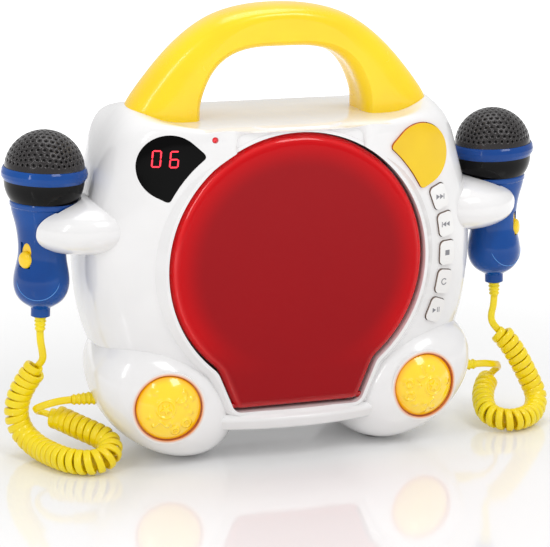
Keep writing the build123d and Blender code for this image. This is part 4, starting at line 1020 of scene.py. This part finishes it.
def segment(letter):
    """A segment's hexagon, leaning a little, measured from the figure's lower left corner."""
    right, top, waist = FIGURE_WIDTH, FIGURE_HEIGHT, FIGURE_HEIGHT / 2
    ends = {
        "a": ((0, top), (right, top)),
        "b": ((right, waist), (right, top)),
        "c": ((right, 0), (right, waist)),
        "d": ((0, 0), (right, 0)),
        "e": ((0, 0), (0, waist)),
        "f": ((0, waist), (0, top)),
        "g": ((0, waist), (right, waist)),
    }[letter]
    start, end = np.array(ends[0]), np.array(ends[1])
    along = unit(end - start)
    across = np.array((-along[1], along[0])) * STROKE / 2
    gap, inset = along * STROKE * SEGMENT_GAP, along * STROKE / 2
    start, end = start + gap, end - gap
    corners = [
        start, start + inset + across, end - inset + across,
        end, end - inset - across, start + inset - across,
    ]
    return np.array([corner + (corner[1] * FIGURE_SLANT, 0) for corner in corners])


outlines = []
for figure, left, foot in (("0", -79.0, 165.3), ("6", -70.1, 165.0)):
    outlines += [segment(letter) + (left * MM, foot * MM) for letter in FIGURES[figure]]
skins("display_figures", outlines, surface_of("display_window"), digit_red, "chassis")
print("segments:", len(outlines))

# %% [markdown]
# ## Marks on the buttons
#
# Plain transport marks, small and grey: triangles, bars, a square and a ring. They ride on
# their buttons, so they go in when a button is pressed.

# %% Transport marks
BUTTON_RING, BUTTON_FIRST, BUTTON_STEP = 87.6 * MM, math.radians(21.0), math.radians(10.7)
MARK = 1.45 * MM


def triangle(x):
    """A triangle that points right, from x."""
    return np.array([(x, -MARK), (x + 1.6 * MARK, 0), (x, MARK)])


def bar(x, width=0.5 * MM):
    """An upright bar, from x."""
    return np.array([(x, -MARK), (x + width, -MARK), (x + width, MARK), (x, MARK)])


def open_ring(radius, stroke, start, turn, steps=18):
    """The quads of an arc."""
    angle = np.linspace(start, start + turn, steps + 1)
    circle = np.stack([np.cos(angle), np.sin(angle)], 1)
    inner, outer = circle * (radius - stroke), circle * radius
    return [np.array([inner[n], outer[n], outer[n + 1], inner[n + 1]]) for n in range(steps)]


skip = [triangle(-2.4 * MM), triangle(0.0), bar(2.4 * MM)]
marks = [
    skip,
    [shape * (-1, 1) for shape in skip],
    [np.array([(-1, -1), (1, -1), (1, 1), (-1, 1)]) * MARK],
    open_ring(1.9 * MM, 0.55 * MM, start=0.6, turn=5.2),
    [triangle(-2.2 * MM), bar(0.8 * MM), bar(1.9 * MM)],
]
for number, shapes in enumerate(marks):
    angle = BUTTON_FIRST - number * BUTTON_STEP
    centre = np.array((BUTTON_RING * math.cos(angle), LID_CENTRE_Z + BUTTON_RING * math.sin(angle)))
    node = f"function_button_{number + 1}"
    placed = [shape + centre for shape in shapes]
    skins(f"mark_{number + 1}", placed, surface_of(node), print_grey, node)
print("marked buttons:", len(marks))


# %% [markdown]
# ## Floor and light
#
# A pale, slightly glossy sheet mirrors the player faintly and glows more with distance. The key
# lamp hangs high in front on the right, and a tall narrow one on the left draws an upright
# highlight. A broad lamp above and an even sky keep the shadows soft.

# %% Floor
FLOOR_NEAR, FLOOR_FAR = 0.15, 1.0


def pale(place, normal):
    """Almost white, with the faintest drift; a glow of its own grows with the distance."""
    x, y, _ = place.axes()
    far = (x * x + y * y).root().ramp(FLOOR_NEAR, FLOOR_FAR)
    return {
        "Base Color": place.noise(3).colour(srgb("F0F0F0"), srgb("F5F5F5")),
        "Emission Color": far.colour(srgb("383838"), srgb("D8D8D8")),
    }


bpy.ops.mesh.primitive_plane_add(size=6, location=(0, 0, 0))
floor = bpy.context.object
floor.name = "floor"
sheet = finish("floor", pale, Roughness=0.08, Emission_Strength=1.0, Specular_IOR_Level=1.0)
floor.data.materials.append(sheet)
print("floor:", floor.dimensions[0], "m across")


# %% Lights
LIGHT_TARGET = Vector((0, 0, 0.1))
SKY_STRENGTH = 0.72


def soft_light(name, place, wide, high, power):
    """A flat lamp that faces the player, with sides in metres and its power in watts."""
    lamp = bpy.data.lights.new(name, "AREA")
    lamp.shape, lamp.size, lamp.size_y, lamp.energy = "RECTANGLE", wide, high, power
    holder = bpy.data.objects.new(name, lamp)
    holder.location = place
    holder.rotation_mode = "QUATERNION"
    holder.rotation_quaternion = (LIGHT_TARGET - Vector(place)).to_track_quat("-Z", "Y")
    bpy.context.scene.collection.objects.link(holder)


soft_light("key", (0.5, -1.0, 1.5), wide=0.6, high=0.6, power=6.5)
soft_light("strip", (-1.0, -0.75, 0.85), wide=0.12, high=0.8, power=2.4)
soft_light("top", (0.1, 0.3, 1.6), wide=0.9, high=0.9, power=6.5)

world = bpy.data.worlds.new("sky")
bpy.context.scene.world = world
world.use_nodes = True
world.node_tree.nodes["Background"].inputs["Color"].default_value = (1, 1, 1, 1)
world.node_tree.nodes["Background"].inputs["Strength"].default_value = SKY_STRENGTH
